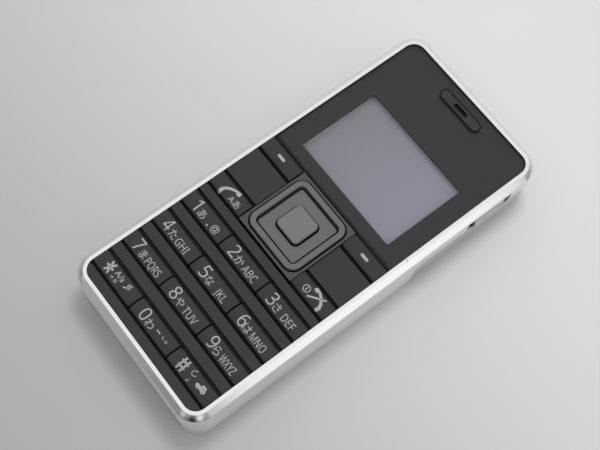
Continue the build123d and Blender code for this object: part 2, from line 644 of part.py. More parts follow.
def make_key(x, y, width):
    """Key cap: a crowned back between steep flanks, lips that catch under the ribs, and a stem to its dome."""
    half = KEY_SLOT / 2 - KEY_GAP
    foot_z = PANEL_TOP - KEY_FOOT_DROP
    low_edge = (-half + KEY_LOW_FLANK, PANEL_TOP + KEY_LOW_EDGE_RISE)
    high_edge = (half - KEY_HIGH_FLANK, PANEL_TOP + KEY_HIGH_EDGE_RISE)
    section = make_face([
        Line((-half, LIP_UNDER), (-half, foot_z)),
        Line((-half, foot_z), low_edge),
        ThreePointArc(low_edge, (0, PANEL_TOP + KEY_RISE), high_edge),
        Line(high_edge, (half, foot_z)),
        Line((half, foot_z), (half, LIP_UNDER)),
        Line((half, LIP_UNDER), (-half, LIP_UNDER)),
    ])
    cap = cross_bar(section, width)
    end_edges = cap.faces().group_by(Axis.X)[0].edges() + cap.faces().group_by(Axis.X)[-1].edges()
    cap = fillet(end_edges.filter_by(lambda edge: edge.center().Z > LIP_UNDER + SEAT_GAP), KEY_END_RADIUS)
    cap += slab(width, 2 * (half + KEY_LIP), LIP_UNDER, LIP_TOP)
    cap += post(STEM_RADIUS, STEM_FOOT, LIP_UNDER)
    return Pos(x, y, 0) * cap


def make_nav_surround():
    """Fixed square bezel round the four-way ring."""
    size = NAV_OPENING - 2 * NAV_GAP
    hole = NAV_RING_SIZE + 2 * NAV_RING_GAP
    top = PANEL_TOP + NAV_SURROUND_RISE
    bezel = slab(size, size, MAT_TOP, top, y=NAV_Y)
    return bezel - slab(hole, hole, MAT_TOP, top, y=NAV_Y, radius=NAV_RING_RADIUS + NAV_RING_GAP)


def make_nav_ring():
    """Four-way key: a raised ring round a sunken floor, with its left and right press points."""
    top = PANEL_TOP + NAV_RING_RISE
    dish = top - NAV_DISH_DEPTH
    floor_under = dish - NAV_FLOOR_THICKNESS
    skirt_foot = top - NAV_SKIRT_DEPTH
    dish_size = NAV_RING_SIZE - 2 * NAV_RING_BAND
    ring = slab(NAV_RING_SIZE, NAV_RING_SIZE, skirt_foot, top, radius=NAV_RING_RADIUS)
    ring = fillet(edges_at(ring, Axis.Z, top), NAV_RING_EDGE)
    ring -= slab(dish_size, dish_size, dish, top, radius=NAV_DISH_RADIUS)

    # A groove parts the raised ring from the sunken floor.
    floor_size = dish_size - 2 * NAV_GROOVE_WIDTH
    groove = slab(dish_size, dish_size, dish - NAV_GROOVE_DEPTH, dish, radius=NAV_DISH_RADIUS)
    groove -= slab(
        floor_size, floor_size, dish - NAV_GROOVE_DEPTH, dish, radius=NAV_DISH_RADIUS - NAV_GROOVE_WIDTH
    )
    ring -= groove
    hollow = NAV_RING_SIZE - 2 * NAV_WALL
    ring -= slab(hollow, hollow, skirt_foot, floor_under, radius=NAV_RING_RADIUS - NAV_WALL)
    centre_hole = CENTRE_KEY_SIZE + 2 * CENTRE_KEY_GAP
    ring -= slab(centre_hole, centre_hole, floor_under, dish, radius=CENTRE_KEY_RADIUS + CENTRE_KEY_GAP)
    ring += posts(NAV_NUB_RADIUS, STEM_FOOT, floor_under, [(-NAV_NUB_REACH, 0), (NAV_NUB_REACH, 0)])
    return Pos(0, NAV_Y, 0) * ring


def nav_pad_top():
    """Level at which the two rocker pads meet the underside of the ring's floor."""
    return PANEL_TOP + NAV_RING_RISE - NAV_DISH_DEPTH - NAV_FLOOR_THICKNESS - PRESS_MARGIN


def make_nav_rocker_pads():
    """Rubber pads under the ring's upper and lower press points, which rock with it."""
    top = nav_pad_top()
    pads = []
    for x, y in NAV_UP_DOWN:
        pad = slab(NAV_PAD_WIDTH, NAV_PAD_DEPTH, top - NAV_PAD_THICKNESS, top, x, y)
        pads.append(pad + post(NAV_PAD_DEPTH / 2, STEM_FOOT, top, x, y))
    return pads


def make_nav_centre_key():
    """Square select key in the middle of the ring."""
    top = PANEL_TOP + CENTRE_KEY_RISE
    key = slab(CENTRE_KEY_SIZE, CENTRE_KEY_SIZE, top - CENTRE_KEY_DEPTH, top, radius=CENTRE_KEY_RADIUS)
    key = fillet(edges_at(key, Axis.Z, top), CENTRE_KEY_EDGE)
    key += post(STEM_RADIUS, STEM_FOOT, top - CENTRE_KEY_DEPTH)
    return Pos(0, NAV_Y, 0) * key


def keypad_sheet(z_low, z_high):
    """Plain sheet under all the keys, holed for the two middle screw bosses."""
    width = OPENING_WIDTH - 2 * MAT_SIDE_GAP
    sheet = span(-width / 2, width / 2, ROW_LOWS[0], SOFT_HIGH, z_low, z_high)
    return sheet - posts(BOSS_RADIUS + BOSS_HOLE_GAP, z_low, z_high, SCREW_PLACES)


def make_keypad_mat():
    """Silicone web, raised on a skirt, that the key stems pass through."""
    mat = keypad_sheet(FILM_TOP, MAT_TOP)
    width = OPENING_WIDTH - 2 * (MAT_SIDE_GAP + MAT_SKIRT)
    under = span(
        -width / 2, width / 2, ROW_LOWS[0] + MAT_SKIRT, SOFT_HIGH - MAT_SKIRT, FILM_TOP, MAT_TOP - MAT_SHEET
    )
    under -= posts(BOSS_RADIUS + BOSS_HOLE_GAP + MAT_SKIRT, FILM_TOP, MAT_TOP, SCREW_PLACES)
    mat -= under
    return mat - posts(STEM_RADIUS + MAT_HOLE_GAP, FILM_TOP, MAT_TOP, PRESS_PLACES)


def make_dome_film():
    """Film that holds the snap domes on the board, open over each dome."""
    film = keypad_sheet(BOARD_TOP, FILM_TOP)
    return film - posts(DOME_RADIUS + DOME_RING_GAP, BOARD_TOP, FILM_TOP, PRESS_PLACES)


def make_metal_domes():
    """A snap dome under every press point."""
    section = make_face([
        Line((0, 0), (DOME_RADIUS, 0)),
        TangentArc((0, DOME_HEIGHT), (DOME_RADIUS, 0), tangent=(1, 0)),
        Line((0, DOME_HEIGHT), (0, 0)),
    ])
    dome = revolve(Plane.XZ * section, Axis.Z)
    return [Pos(x, y, BOARD_TOP) * dome for x, y in PRESS_PLACES]


def make_main_board():
    """Circuit board, holed for the screw bosses and the microphone."""
    width = CAVITY_WIDTH - 2 * BOARD_SIDE_GAP
    length = CAVITY_LENGTH - 2 * BOARD_END_GAP
    board = slab(width, length, BOARD_UNDER, BOARD_TOP, radius=BOARD_RADIUS)
    board -= posts(BOSS_RADIUS + BOSS_HOLE_GAP, BOARD_UNDER, BOARD_TOP, SCREW_PLACES)
    return board - post(MIC_PORT_RADIUS, BOARD_UNDER, BOARD_TOP, 0, MIC_Y)


def shield_places():
    """Middle of each shield can along the phone."""
    first = REAR_LOW + REAR_WALL + SHIELD_LOW_MARGIN + SHIELD_LENGTH / 2
    return [first + index * SHIELD_SPACING for index in range(SHIELD_COUNT)]


def make_board_shields():
    """Metal cans over the radio parts under the board."""
    cans = []
    for y in shield_places():
        low = BOARD_UNDER - SHIELD_HEIGHT
        can = slab(SHIELD_WIDTH, SHIELD_LENGTH, low, BOARD_UNDER, y=y)
        cans.append(chamfer(edges_at(can, Axis.Z, low), SHIELD_EDGE))
    return cans


def make_inner_chassis():
    """Tray between the board and the battery, holding the frame, the panel and the board together."""
    width = CAVITY_WIDTH - 2 * FIT_GAP
    length = CAVITY_LENGTH - 2 * FIT_GAP
    tray = slab(width, length, RUNNER_UNDER, BOARD_UNDER, radius=CAVITY_RADIUS - FIT_GAP)
    tray &= span(-width / 2, width / 2, -length / 2, DEEP_END - SEAT_GAP, RUNNER_UNDER, BOARD_UNDER)
    upper_inset = REAR_INNER_INSET + FIT_GAP
    plate = slab(
        FRAME_WIDTH - 2 * upper_inset, FRAME_LENGTH - 2 * upper_inset, BAY_CEILING, BOARD_UNDER,
        radius=FRAME_CORNER_RADIUS - upper_inset,
    )
    tray += plate & span(-width / 2, width / 2, BAY_HIGH, length / 2, BAY_CEILING, BOARD_UNDER)

    bay = BATTERY_WIDTH / 2 + BATTERY_GAP
    tray -= span(-bay, bay, BAY_LOW, BAY_HIGH, 0, BAY_CEILING)
    slide = COVER_WIDTH / 2 + COVER_RUNNER + SLIDE_GAP
    tray -= span(-slide, slide, BACK_LOW, DEEP_END, 0, RUNNER_TOP + SLIDE_GAP)
    contact_room = CONTACT_LENGTH / 2 + FIT_GAP
    tray -= span(
        -contact_room, contact_room, BAY_HIGH, BAY_HIGH + CONTACT_DEPTH + FIT_GAP,
        BAY_CEILING - CONTACT_HEIGHT - FIT_GAP, BAY_CEILING,
    )
    tray -= sim_outline(FIT_GAP, BAY_CEILING, BAY_CEILING + SIM_THICKNESS + SEAT_GAP)
    boot = MIC_RADIUS + MIC_BOOT_WALL + FIT_GAP
    tray -= post(boot, BOARD_UNDER - MIC_HEIGHT - SEAT_GAP, BOARD_UNDER, 0, MIC_Y)
    tray -= posts(SCREW_RADIUS + SCREW_HOLE_GAP, 0, BOARD_UNDER, SCREW_PLACES)
    tray -= posts(
        SCREW_HEAD_RADIUS + SCREW_HOLE_GAP, 0, BAY_CEILING + SCREW_HEAD_HEIGHT, SCREW_PLACES
    )

    # Windows over the shield cans, and notches beside the antenna, the port and the side key
    antenna_half = ANTENNA_LENGTH / 2 + SLIDE_GAP
    antenna_inner = REAR_TOP - SEAT_GAP - ANTENNA_THICKNESS - SLIDE_GAP
    tray -= span(-antenna_half, antenna_half, antenna_inner, REAR_TOP, BAY_CEILING, BOARD_UNDER)
    for y in shield_places():
        tray -= slab(
            SHIELD_WIDTH + 2 * SHIELD_ROOM, SHIELD_LENGTH + 2 * SHIELD_ROOM, BAY_CEILING, BOARD_UNDER, y=y
        )
    notch_edge = FRAME_WIDTH / 2
    port_inner = REAR_SIDE - REAR_WALL - PORT_WALL_GAP - PORT_LENGTH - SLIDE_GAP
    port_half = PORT_SHELL_WIDTH / 2 + SLIDE_GAP
    tray -= span(
        -notch_edge, -port_inner, SIDE_PART_Y - port_half, SIDE_PART_Y + port_half, BAY_CEILING, BOARD_UNDER
    )
    key_half = SIDE_SLOT_LENGTH / 2 + SIDE_KEY_LIP + SLIDE_GAP
    switch_inner = switch_face() - SWITCH_DEPTH - SLIDE_GAP
    tray -= span(
        switch_inner, notch_edge, SIDE_PART_Y - key_half, SIDE_PART_Y + key_half, BAY_CEILING, BOARD_UNDER
    )
    return tray


def make_housing_screws():
    """Six screws from the chassis up into the panel's bosses."""
    screws = []
    for x, y in SCREW_PLACES:
        head_top = BAY_CEILING + SCREW_HEAD_HEIGHT
        head = post(SCREW_HEAD_RADIUS, BAY_CEILING, head_top, x, y)
        screws.append(head + post(SCREW_RADIUS, head_top, head_top + SCREW_LENGTH, x, y))
    return screws


def sim_outline(gap, z_low, z_high):
    """Subscriber card's outline, with its cut corner, grown by a gap."""
    width = SIM_LENGTH + 2 * gap
    length = SIM_WIDTH + 2 * gap
    y = BAY_LOW + SIM_LOW_MARGIN + SIM_WIDTH / 2
    card = slab(width, length, z_low, z_high, y=y)
    corner = card.edges().filter_by(Axis.Z).group_by(Axis.X)[-1].sort_by(Axis.Y)[-1]
    return chamfer(corner, SIM_CORNER_CUT)


def make_sim_card():
    """Card in its pocket in the bay's ceiling."""
    return sim_outline(0, BAY_CEILING + SEAT_GAP, BAY_CEILING + SEAT_GAP + SIM_THICKNESS)


def make_battery():
    """Flat cell that fills the bay under the chassis."""
    length = BAY_HIGH - BAY_LOW - 2 * BATTERY_GAP
    low = RUNNER_TOP + BATTERY_GAP
    high = BAY_CEILING - SEAT_GAP
    pack = slab(BATTERY_WIDTH, length, low, high, y=BAY_Y, radius=BATTERY_CORNER_RADIUS)
    return fillet(edges_at(pack, Axis.Z, low) + edges_at(pack, Axis.Z, high), BATTERY_EDGE_RADIUS)


def make_battery_contacts():
    """Contact block in the bay's upper wall, with its row of sprung pins."""
    low = BAY_CEILING - CONTACT_HEIGHT
    block = span(
        -CONTACT_LENGTH / 2, CONTACT_LENGTH / 2, BAY_HIGH, BAY_HIGH + CONTACT_DEPTH, low, BAY_CEILING
    )
    for index in range(CONTACT_PIN_COUNT):
        x = (index - (CONTACT_PIN_COUNT - 1) / 2) * CONTACT_PIN_PITCH
        block += span(
            x - CONTACT_PIN_WIDTH / 2, x + CONTACT_PIN_WIDTH / 2,
            BAY_HIGH - BATTERY_GAP + SEAT_GAP, BAY_HIGH,
            low + CONTACT_HEIGHT / 4, BAY_CEILING - CONTACT_HEIGHT / 4,
        )
    return block


def make_microphone():
    """Small round capsule under the lower end of the board."""
    return post(MIC_RADIUS, BOARD_UNDER - MIC_HEIGHT, BOARD_UNDER, 0, MIC_Y)


def make_microphone_boot():
    """Rubber sleeve round the capsule."""
    low = BOARD_UNDER - MIC_HEIGHT
    sleeve = post(MIC_RADIUS + MIC_BOOT_WALL, low, BOARD_UNDER, 0, MIC_Y)
    return sleeve - post(MIC_RADIUS, low, BOARD_UNDER, 0, MIC_Y)


def make_battery_cover():
    """Back cover that slides out past the lower end on its two side runners."""
    half = COVER_WIDTH / 2
    high = DEEP_END - SLIDE_GAP
    cover = span(-half, half, BACK_LOW, high, COVER_DROP, RUNNER_TOP)
    runner = half + COVER_RUNNER
    cover += span(-runner, runner, BACK_LOW, high, RUNNER_UNDER, RUNNER_TOP)
    lip_inner = BACK_LOW + FRAME_WALL
    cover += span(-half, half, BACK_LOW, lip_inner, COVER_DROP, COVER_LIP_HEIGHT)
    cover += span(-runner, runner, BACK_LOW, lip_inner, RUNNER_UNDER, COVER_LIP_HEIGHT)
    for index in range(GRIP_COUNT):
        y = BACK_LOW + GRIP_MARGIN + index * GRIP_PITCH
        cover -= extrude(
            Pos(0, y, COVER_DROP) * SlotOverall(GRIP_LENGTH, GRIP_WIDTH), amount=GRIP_DEPTH
        )
    return cover


def rear_outline(inset, z_low, z_high, y_low):
    """Frame's outline drawn in by an inset, above one place along the phone."""
    width = FRAME_WIDTH - 2 * inset
    length = FRAME_LENGTH - 2 * inset
    outline = slab(width, length, z_low, z_high, radius=FRAME_CORNER_RADIUS - inset)
    return outline & span(-width / 2, width / 2, y_low, length / 2, z_low, z_high)


def make_upper_rear_cover():
    """Moulded cover over the antenna end, with the grille, the side slot and the port opening."""
    cover = rear_outline(REAR_INSET, 0, REAR_RIM, REAR_LOW)
    rounded = edges_at(cover, Axis.Z, 0).sort_by(Axis.Y)[1:]
    cover = fillet(rounded, REAR_EDGE_RADIUS)
    step = edges_at(cover, Axis.Z, REAR_RIM).sort_by(Axis.Y)[0]
    cover = fillet(step, BAND_CORNER_RADIUS)
    cover -= rear_outline(REAR_INNER_INSET, REAR_WALL, REAR_RIM, REAR_LOW + REAR_WALL)
    inner_half = FRAME_WIDTH / 2 - REAR_INNER_INSET
    cover -= span(-inner_half, inner_half, REAR_LOW, REAR_LOW + REAR_WALL, BAY_CEILING - SEAT_GAP, REAR_RIM)

    for index in range(GRILLE_COUNT):
        y = SPEAKER_Y + (index - (GRILLE_COUNT - 1) / 2) * GRILLE_PITCH
        slot = SlotOverall(GRILLE_LENGTH, GRILLE_WIDTH)
        cover -= extrude(Pos(-SPEAKER_OFFSET, y, 0) * slot, amount=REAR_WALL)

    half_slot = SIDE_SLOT_LENGTH / 2
    cover -= span(
        inner_half, FRAME_WIDTH / 2, SIDE_PART_Y - half_slot, SIDE_PART_Y + half_slot, SIDE_SLOT_LOW, REAR_RIM
    )
    half_port = PORT_WIDTH / 2
    cover -= span(
        -FRAME_WIDTH / 2, -inner_half, SIDE_PART_Y - half_port, SIDE_PART_Y + half_port,
        PORT_Z - PORT_HEIGHT / 2, PORT_Z + PORT_HEIGHT / 2,
    )
    recess_inner = REAR_SIDE - FLAP_THICKNESS - FLAP_GAP
    half_flap = FLAP_HEIGHT / 2 + FLAP_GAP
    cover -= span(
        -FRAME_WIDTH / 2, -recess_inner, FLAP_LOW - FLAP_GAP, FLAP_LOW + FLAP_LENGTH + FLAP_GAP,
        PORT_Z - half_flap, PORT_Z + half_flap,
    )
    return cover + motor_saddles()


def motor_saddles():
    """Two cradles that hold the vibration motor off the back."""
    saddles = []
    half = MOTOR_RADIUS + SADDLE_WALL
    for side in (-1, 1):
        x = MOTOR_OFFSET + side * (MOTOR_LENGTH / 2 - SADDLE_LENGTH)
        block = slab(SADDLE_LENGTH, 2 * half, REAR_WALL, MOTOR_Z, x, MOTOR_Y)
        saddles.append(block - along_x(MOTOR_RADIUS + SEAT_GAP, MOTOR_OFFSET, MOTOR_LENGTH))
    return saddles


def along_x(radius, x, length):
    """Round bar on the motor's axis."""
    return Pos(x, MOTOR_Y, MOTOR_Z) * Rot(0, 90, 0) * Cylinder(radius, length)


def make_vibration_motor():
    """Round motor with a bore for its shaft at the outer end."""
    motor = along_x(MOTOR_RADIUS, MOTOR_OFFSET, MOTOR_LENGTH)
    end = MOTOR_OFFSET + MOTOR_LENGTH / 2
    bore = MOTOR_SHAFT_LENGTH + WEIGHT_GAP
    return motor - along_x(MOTOR_SHAFT_RADIUS + MOTOR_SHAFT_GAP, end - bore / 2, bore)


def make_vibration_weight():
    """Half-round weight on the motor's shaft."""
    face = MOTOR_OFFSET + MOTOR_LENGTH / 2 + WEIGHT_GAP
    middle = face + WEIGHT_LENGTH / 2
    weight = along_x(WEIGHT_RADIUS, middle, WEIGHT_LENGTH)
    weight -= slab(
        WEIGHT_LENGTH, 2 * WEIGHT_RADIUS, MOTOR_Z, MOTOR_Z + WEIGHT_RADIUS, middle, MOTOR_Y
    )
    weight += along_x(WEIGHT_HUB_RADIUS, middle, WEIGHT_LENGTH)
    shaft = MOTOR_SHAFT_LENGTH + WEIGHT_GAP
    return weight + along_x(MOTOR_SHAFT_RADIUS, face - shaft / 2, shaft)


def make_ringer_speaker():
    """Loudspeaker behind the grille."""
    return slab(
        SPEAKER_LENGTH, SPEAKER_WIDTH, SPEAKER_LOW, SPEAKER_LOW + SPEAKER_HEIGHT,
        -SPEAKER_OFFSET, SPEAKER_Y, SPEAKER_RADIUS,
    )


def make_antenna():
    """Stamped strip on the inside of the top wall, slotted from both edges in turn."""
    high = BOARD_UNDER
    low = high - ANTENNA_HEIGHT
    outer = REAR_TOP - SEAT_GAP
    strip = span(-ANTENNA_LENGTH / 2, ANTENNA_LENGTH / 2, outer - ANTENNA_THICKNESS, outer, low, high)
    for index in range(ANTENNA_SLOT_COUNT):
        x = (index - (ANTENNA_SLOT_COUNT - 1) / 2) * ANTENNA_SLOT_PITCH
        slot_low = low if index % 2 else high - ANTENNA_SLOT_DEPTH
        strip -= span(
            x - ANTENNA_SLOT_WIDTH / 2, x + ANTENNA_SLOT_WIDTH / 2, outer - ANTENNA_THICKNESS, outer,
            slot_low, slot_low + ANTENNA_SLOT_DEPTH,
        )
    return strip


def switch_face():
    """Where the side switch's body ends, just short of the pressed key."""
    lip_inner = REAR_SIDE - REAR_WALL - SEAT_GAP - SIDE_KEY_LIP_THICKNESS
    return lip_inner - SIDE_KEY_TRAVEL - PRESS_MARGIN - SWITCH_PLUNGER_RADIUS


def make_side_key():
    """Long key in the right wall: a flush face with a proud ridge, and a lip behind the rear cover's wall."""
    flush = FRAME_WIDTH / 2
    outer = flush + SIDE_KEY_PROUD
    bar_inner = flush - FRAME_WALL + SIDE_KEY_TRAVEL + PRESS_MARGIN
    wall_inner = REAR_SIDE - REAR_WALL - SEAT_GAP
    bar_low = SIDE_SLOT_LOW + SIDE_KEY_ROOM
    bar_high = SIDE_SLOT_HIGH - SIDE_KEY_ROOM
    ridge_high = bar_low + SIDE_KEY_RIDGE_HEIGHT
    lip_high = REAR_RIM - SIDE_KEY_ROOM
    low_end = SIDE_PART_Y - SIDE_KEY_LENGTH / 2
    high_end = SIDE_PART_Y + SIDE_KEY_LENGTH / 2
    half_lip = SIDE_SLOT_LENGTH / 2 + SIDE_KEY_LIP

    ridge = span(bar_inner, outer, low_end, high_end, bar_low, ridge_high)
    key = fillet(edges_at(ridge, Axis.X, outer), SIDE_KEY_EDGE)
    key += span(bar_inner, flush, low_end, high_end, bar_low, bar_high)
    key += span(wall_inner, bar_inner, low_end, high_end, bar_low, lip_high)
    return key + span(
        wall_inner - SIDE_KEY_LIP_THICKNESS, wall_inner, SIDE_PART_Y - half_lip, SIDE_PART_Y + half_lip,
        lip_high - SIDE_KEY_LIP_HEIGHT, lip_high,
    )


def make_side_switch():
    """Push switch under the board's edge, facing the side key."""
    face = switch_face()
    body = span(
        face - SWITCH_DEPTH, face, SIDE_PART_Y - SWITCH_LENGTH / 2, SIDE_PART_Y + SWITCH_LENGTH / 2,
        BOARD_UNDER - SWITCH_HEIGHT, BOARD_UNDER,
    )
    plunger = Cylinder(SWITCH_PLUNGER_RADIUS, 2 * SWITCH_PLUNGER_RADIUS)
    return body + Pos(face, SIDE_PART_Y, BOARD_UNDER - SWITCH_HEIGHT / 2) * Rot(0, 90, 0) * plunger


def make_charge_connector():
    """Charging socket under the board, its mouth at the left wall."""
    mouth = -(REAR_SIDE - REAR_WALL - PORT_WALL_GAP)
    half = PORT_SHELL_WIDTH / 2
    shell = span(
        mouth, mouth + PORT_LENGTH, SIDE_PART_Y - half, SIDE_PART_Y + half,
        PORT_Z - PORT_SHELL_HEIGHT / 2, PORT_Z + PORT_SHELL_HEIGHT / 2,
    )
    shell -= span(
        mouth, mouth + PORT_DEPTH, SIDE_PART_Y - PORT_WIDTH / 2, SIDE_PART_Y + PORT_WIDTH / 2,
        PORT_Z - PORT_HEIGHT / 2, PORT_Z + PORT_HEIGHT / 2,
    )
    tongue_half = PORT_WIDTH / 2 - PORT_HEIGHT / 2
    return shell + span(
        mouth + PORT_DEPTH / 3, mouth + PORT_DEPTH, SIDE_PART_Y - tongue_half, SIDE_PART_Y + tongue_half,
        PORT_Z - PORT_TONGUE_THICKNESS / 2, PORT_Z + PORT_TONGUE_THICKNESS / 2,
    )


def make_port_cover():
    """Rubber flap over the charging socket, tied at its lower end and plugged into the mouth."""
    outer = -REAR_SIDE
    inner = outer + FLAP_THICKNESS
    high = FLAP_LOW + FLAP_LENGTH
    half = FLAP_HEIGHT / 2
    plate = span(outer, inner, FLAP_LOW + FLAP_RELIEF, high, PORT_Z - half, PORT_Z + half)
    far_corners = plate.edges().filter_by(Axis.X).sort_by(Axis.Y)[-2:]
    plate = fillet(far_corners, FLAP_CORNER_RADIUS)
    plate += span(outer, outer + FLAP_STRAP, FLAP_LOW, FLAP_LOW + FLAP_RELIEF, PORT_Z - half, PORT_Z + half)
    tongue_half = PORT_WIDTH / 2 - FLAP_TONGUE_GAP
    tongue_height = PORT_HEIGHT / 2 - FLAP_TONGUE_GAP
    return plate + span(
        inner, inner + FLAP_TONGUE_DEPTH, SIDE_PART_Y - tongue_half, SIDE_PART_Y + tongue_half,
        PORT_Z - tongue_height, PORT_Z + tongue_height,
    )


def make_pieces():
    """Every piece of the phone by its name."""
    pieces = {
        "side_frame": make_side_frame(),
        "front_panel": make_front_panel(),
        "display_window": window_outline(WINDOW_UNDER, PANEL_TOP),
        "window_mask": make_window_mask(),
        "lcd_gasket": make_lcd_gasket(),
        "lcd_panel": slab(LCD_WIDTH, LCD_LENGTH, LCD_UNDER, LCD_TOP, y=LCD_Y),
        "lcd_backlight": slab(LCD_WIDTH, LCD_LENGTH, BACKLIGHT_UNDER, LCD_UNDER, y=LCD_Y),
        "lcd_tray": make_lcd_tray(),
        "display_flex": make_display_flex(),
        "display_connector": make_display_connector(),
        "earpiece_cover": make_earpiece_cover(),
        "earpiece_mesh": make_earpiece_mesh(),
        "receiver": make_receiver(),
        "nav_surround": make_nav_surround(),
        "nav_ring": make_nav_ring(),
        "nav_rocker_pads": make_nav_rocker_pads(),
        "nav_centre_key": make_nav_centre_key(),
        "keypad_mat": make_keypad_mat(),
        "dome_film": make_dome_film(),
        "metal_domes": make_metal_domes(),
        "main_board": make_main_board(),
        "board_shields": make_board_shields(),
        "inner_chassis": make_inner_chassis(),
        "housing_screws": make_housing_screws(),
        "sim_card": make_sim_card(),
        "battery": make_battery(),
        "battery_contacts": make_battery_contacts(),
        "microphone": make_microphone(),
        "microphone_boot": make_microphone_boot(),
        "battery_cover": make_battery_cover(),
        "upper_rear_cover": make_upper_rear_cover(),
        "vibration_motor": make_vibration_motor(),
        "vibration_weight": make_vibration_weight(),
        "ringer_speaker": make_ringer_speaker(),
        "antenna": make_antenna(),
        "side_key": make_side_key(),
        "side_switch": make_side_switch(),
        "charge_connector": make_charge_connector(),
        "port_cover": make_port_cover(),
    }
    for name, (x, y) in NUMBER_PLACES.items():
        pieces[name] = make_key(x, y, KEY_WIDTH)
    for name, (x, y) in SIDE_KEY_PLACES.items():
        pieces[name] = make_key(x, y, SIDE_KEYS_WIDTH)
    return pieces


os.makedirs("parts", exist_ok=True)
for piece_name, piece in make_pieces().items():
    solids = Compound(piece) if isinstance(piece, list) else piece
    export_step(solids, os.path.join("parts", piece_name + ".step"))
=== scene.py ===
import json
import math

import bmesh
import bpy
from mathutils import Matrix, Vector
from mathutils.bvhtree import BVHTree

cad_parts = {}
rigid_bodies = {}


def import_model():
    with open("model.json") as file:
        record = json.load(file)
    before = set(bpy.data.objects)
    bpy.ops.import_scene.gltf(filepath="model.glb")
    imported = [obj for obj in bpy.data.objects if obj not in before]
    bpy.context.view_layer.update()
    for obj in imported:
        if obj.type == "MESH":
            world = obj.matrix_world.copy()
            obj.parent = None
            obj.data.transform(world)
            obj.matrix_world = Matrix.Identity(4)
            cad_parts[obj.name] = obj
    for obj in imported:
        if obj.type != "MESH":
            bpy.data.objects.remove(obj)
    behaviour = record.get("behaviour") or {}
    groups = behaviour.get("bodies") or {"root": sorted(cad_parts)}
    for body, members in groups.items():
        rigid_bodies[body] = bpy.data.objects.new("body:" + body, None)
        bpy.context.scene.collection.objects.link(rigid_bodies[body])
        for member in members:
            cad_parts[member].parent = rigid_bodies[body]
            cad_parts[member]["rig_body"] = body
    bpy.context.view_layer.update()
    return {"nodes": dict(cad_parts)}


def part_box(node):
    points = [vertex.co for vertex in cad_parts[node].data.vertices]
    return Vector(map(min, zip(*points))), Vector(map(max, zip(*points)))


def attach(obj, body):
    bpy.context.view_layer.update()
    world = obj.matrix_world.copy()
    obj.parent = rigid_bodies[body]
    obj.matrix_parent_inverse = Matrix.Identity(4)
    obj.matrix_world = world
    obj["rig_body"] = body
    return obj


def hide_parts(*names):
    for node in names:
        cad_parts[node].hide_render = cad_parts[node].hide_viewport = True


bl_info = {
    "name": "Bar Phone Dresser",
    "version": (1, 0, 0),
    "blender": (4, 5, 0),
    "location": "View3D > Sidebar > Phone",
    "description": "Finishes, key legends and studio for a slim bar-style mobile phone",
    "category": "Object",
}

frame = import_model()
MM = 0.001

# Sockets of a colour Mix node, which has several sockets of each name
MIX_FACTOR = 0
MIX_A = 6
MIX_B = 7
MIX_RESULT = 2

# Scale of a Wave texture that repeats once in a unit, as its bands turn by 20 radians in one
WAVE_TURN = 2 * math.pi / 20

NUMBER_KEYS = [
    "key_1", "key_2", "key_3", "key_4", "key_5", "key_6",
    "key_7", "key_8", "key_9", "key_star", "key_0", "key_hash",
]
SIDE_KEYS = ["call_key", "end_key", "soft_key_left", "soft_key_right"]


def linear(hex_colour):
    """An sRGB hex value as linear red, green, blue and alpha."""
    parts = [int(hex_colour[start:start + 2], 16) / 255 for start in (1, 3, 5)]
    return (*[((part + 0.055) / 1.055) ** 2.4 if part > 0.04045 else part / 12.92 for part in parts], 1.0)


def length_property(name, description, millimetres):
    """A length that a user may change."""
    return bpy.props.FloatProperty(
        name=name, description=description, default=millimetres * MM, unit="LENGTH", subtype="DISTANCE",
        precision=5,
    )


def colour_property(name, description, hex_colour):
    """A colour that a user may change."""
    return bpy.props.FloatVectorProperty(
        name=name, description=description, default=linear(hex_colour), size=4, min=0.0, max=1.0,
        subtype="COLOR",
    )


class PhoneSizes(bpy.types.PropertyGroup):
    """Sizes of the finishing detail."""

    metal_edge: length_property("Metal edge", "Rounding of the frame's cut edges", 0.1)
    moulded_edge: length_property("Moulded edge", "Rounding of the moulded parts' edges", 0.07)
    bond_line: length_property("Bond line", "Clear glue between the window and its print", 0.04)
    digit_height: length_property("Digit height", "Height of the numbers on the keys", 2.95)
    letter_height: length_property("Letter height", "Height of the capitals on the keys", 1.75)
    kana_height: length_property("Kana height", "Height of the syllables on the keys", 1.95)
    legend_foot: length_property("Legend foot", "Drop from a key's middle to its legend's baseline", 1.5)
    ink_thickness: length_property("Ink thickness", "Thickness of the printed legends", 0.03)


class PhoneColours(bpy.types.PropertyGroup):
    """Colours of the finishes."""

    aluminium: colour_property("Aluminium", "Anodised frame", "#EEEEED")
    panel: colour_property("Panel", "Satin black front", "#252626")
    keys: colour_property("Keys", "Key caps", "#232424")
    ink: colour_property("Ink", "Legends on the keys", "#A8A9A6")
    pad_plate: colour_property("Pad plate", "Bezel round the pad", "#474948")
    pad_ring: colour_property("Pad ring", "Four-way ring", "#656766")
    pad_centre: colour_property("Pad centre", "Select key", "#707272")
    display: colour_property("Display", "Display at rest", "#A9A9B7")
    cover: colour_property("Cover", "Painted rear covers", "#C4C5C7")
    floor: colour_property("Floor", "Studio floor", "#D9D9D7")


def sizes():
    """The user's sizes."""
    return bpy.context.scene.phone_sizes


def colours():
    """The user's colours, as plain tuples."""
    group = bpy.context.scene.phone_colours
    return {name: tuple(getattr(group, name)) for name in PhoneColours.__annotations__}


def add_node(tree, kind, settings=None, inputs=None, links=None):
    """Add one node with its settings, its constant inputs and its links from other nodes' outputs."""
    made = tree.nodes.new(kind)
    for name, value in (settings or {}).items():
        setattr(made, name, value)
    for name, value in (inputs or {}).items():
        made.inputs[name].default_value = value
    for name, output in (links or {}).items():
        tree.links.new(output, made.inputs[name])
    return made


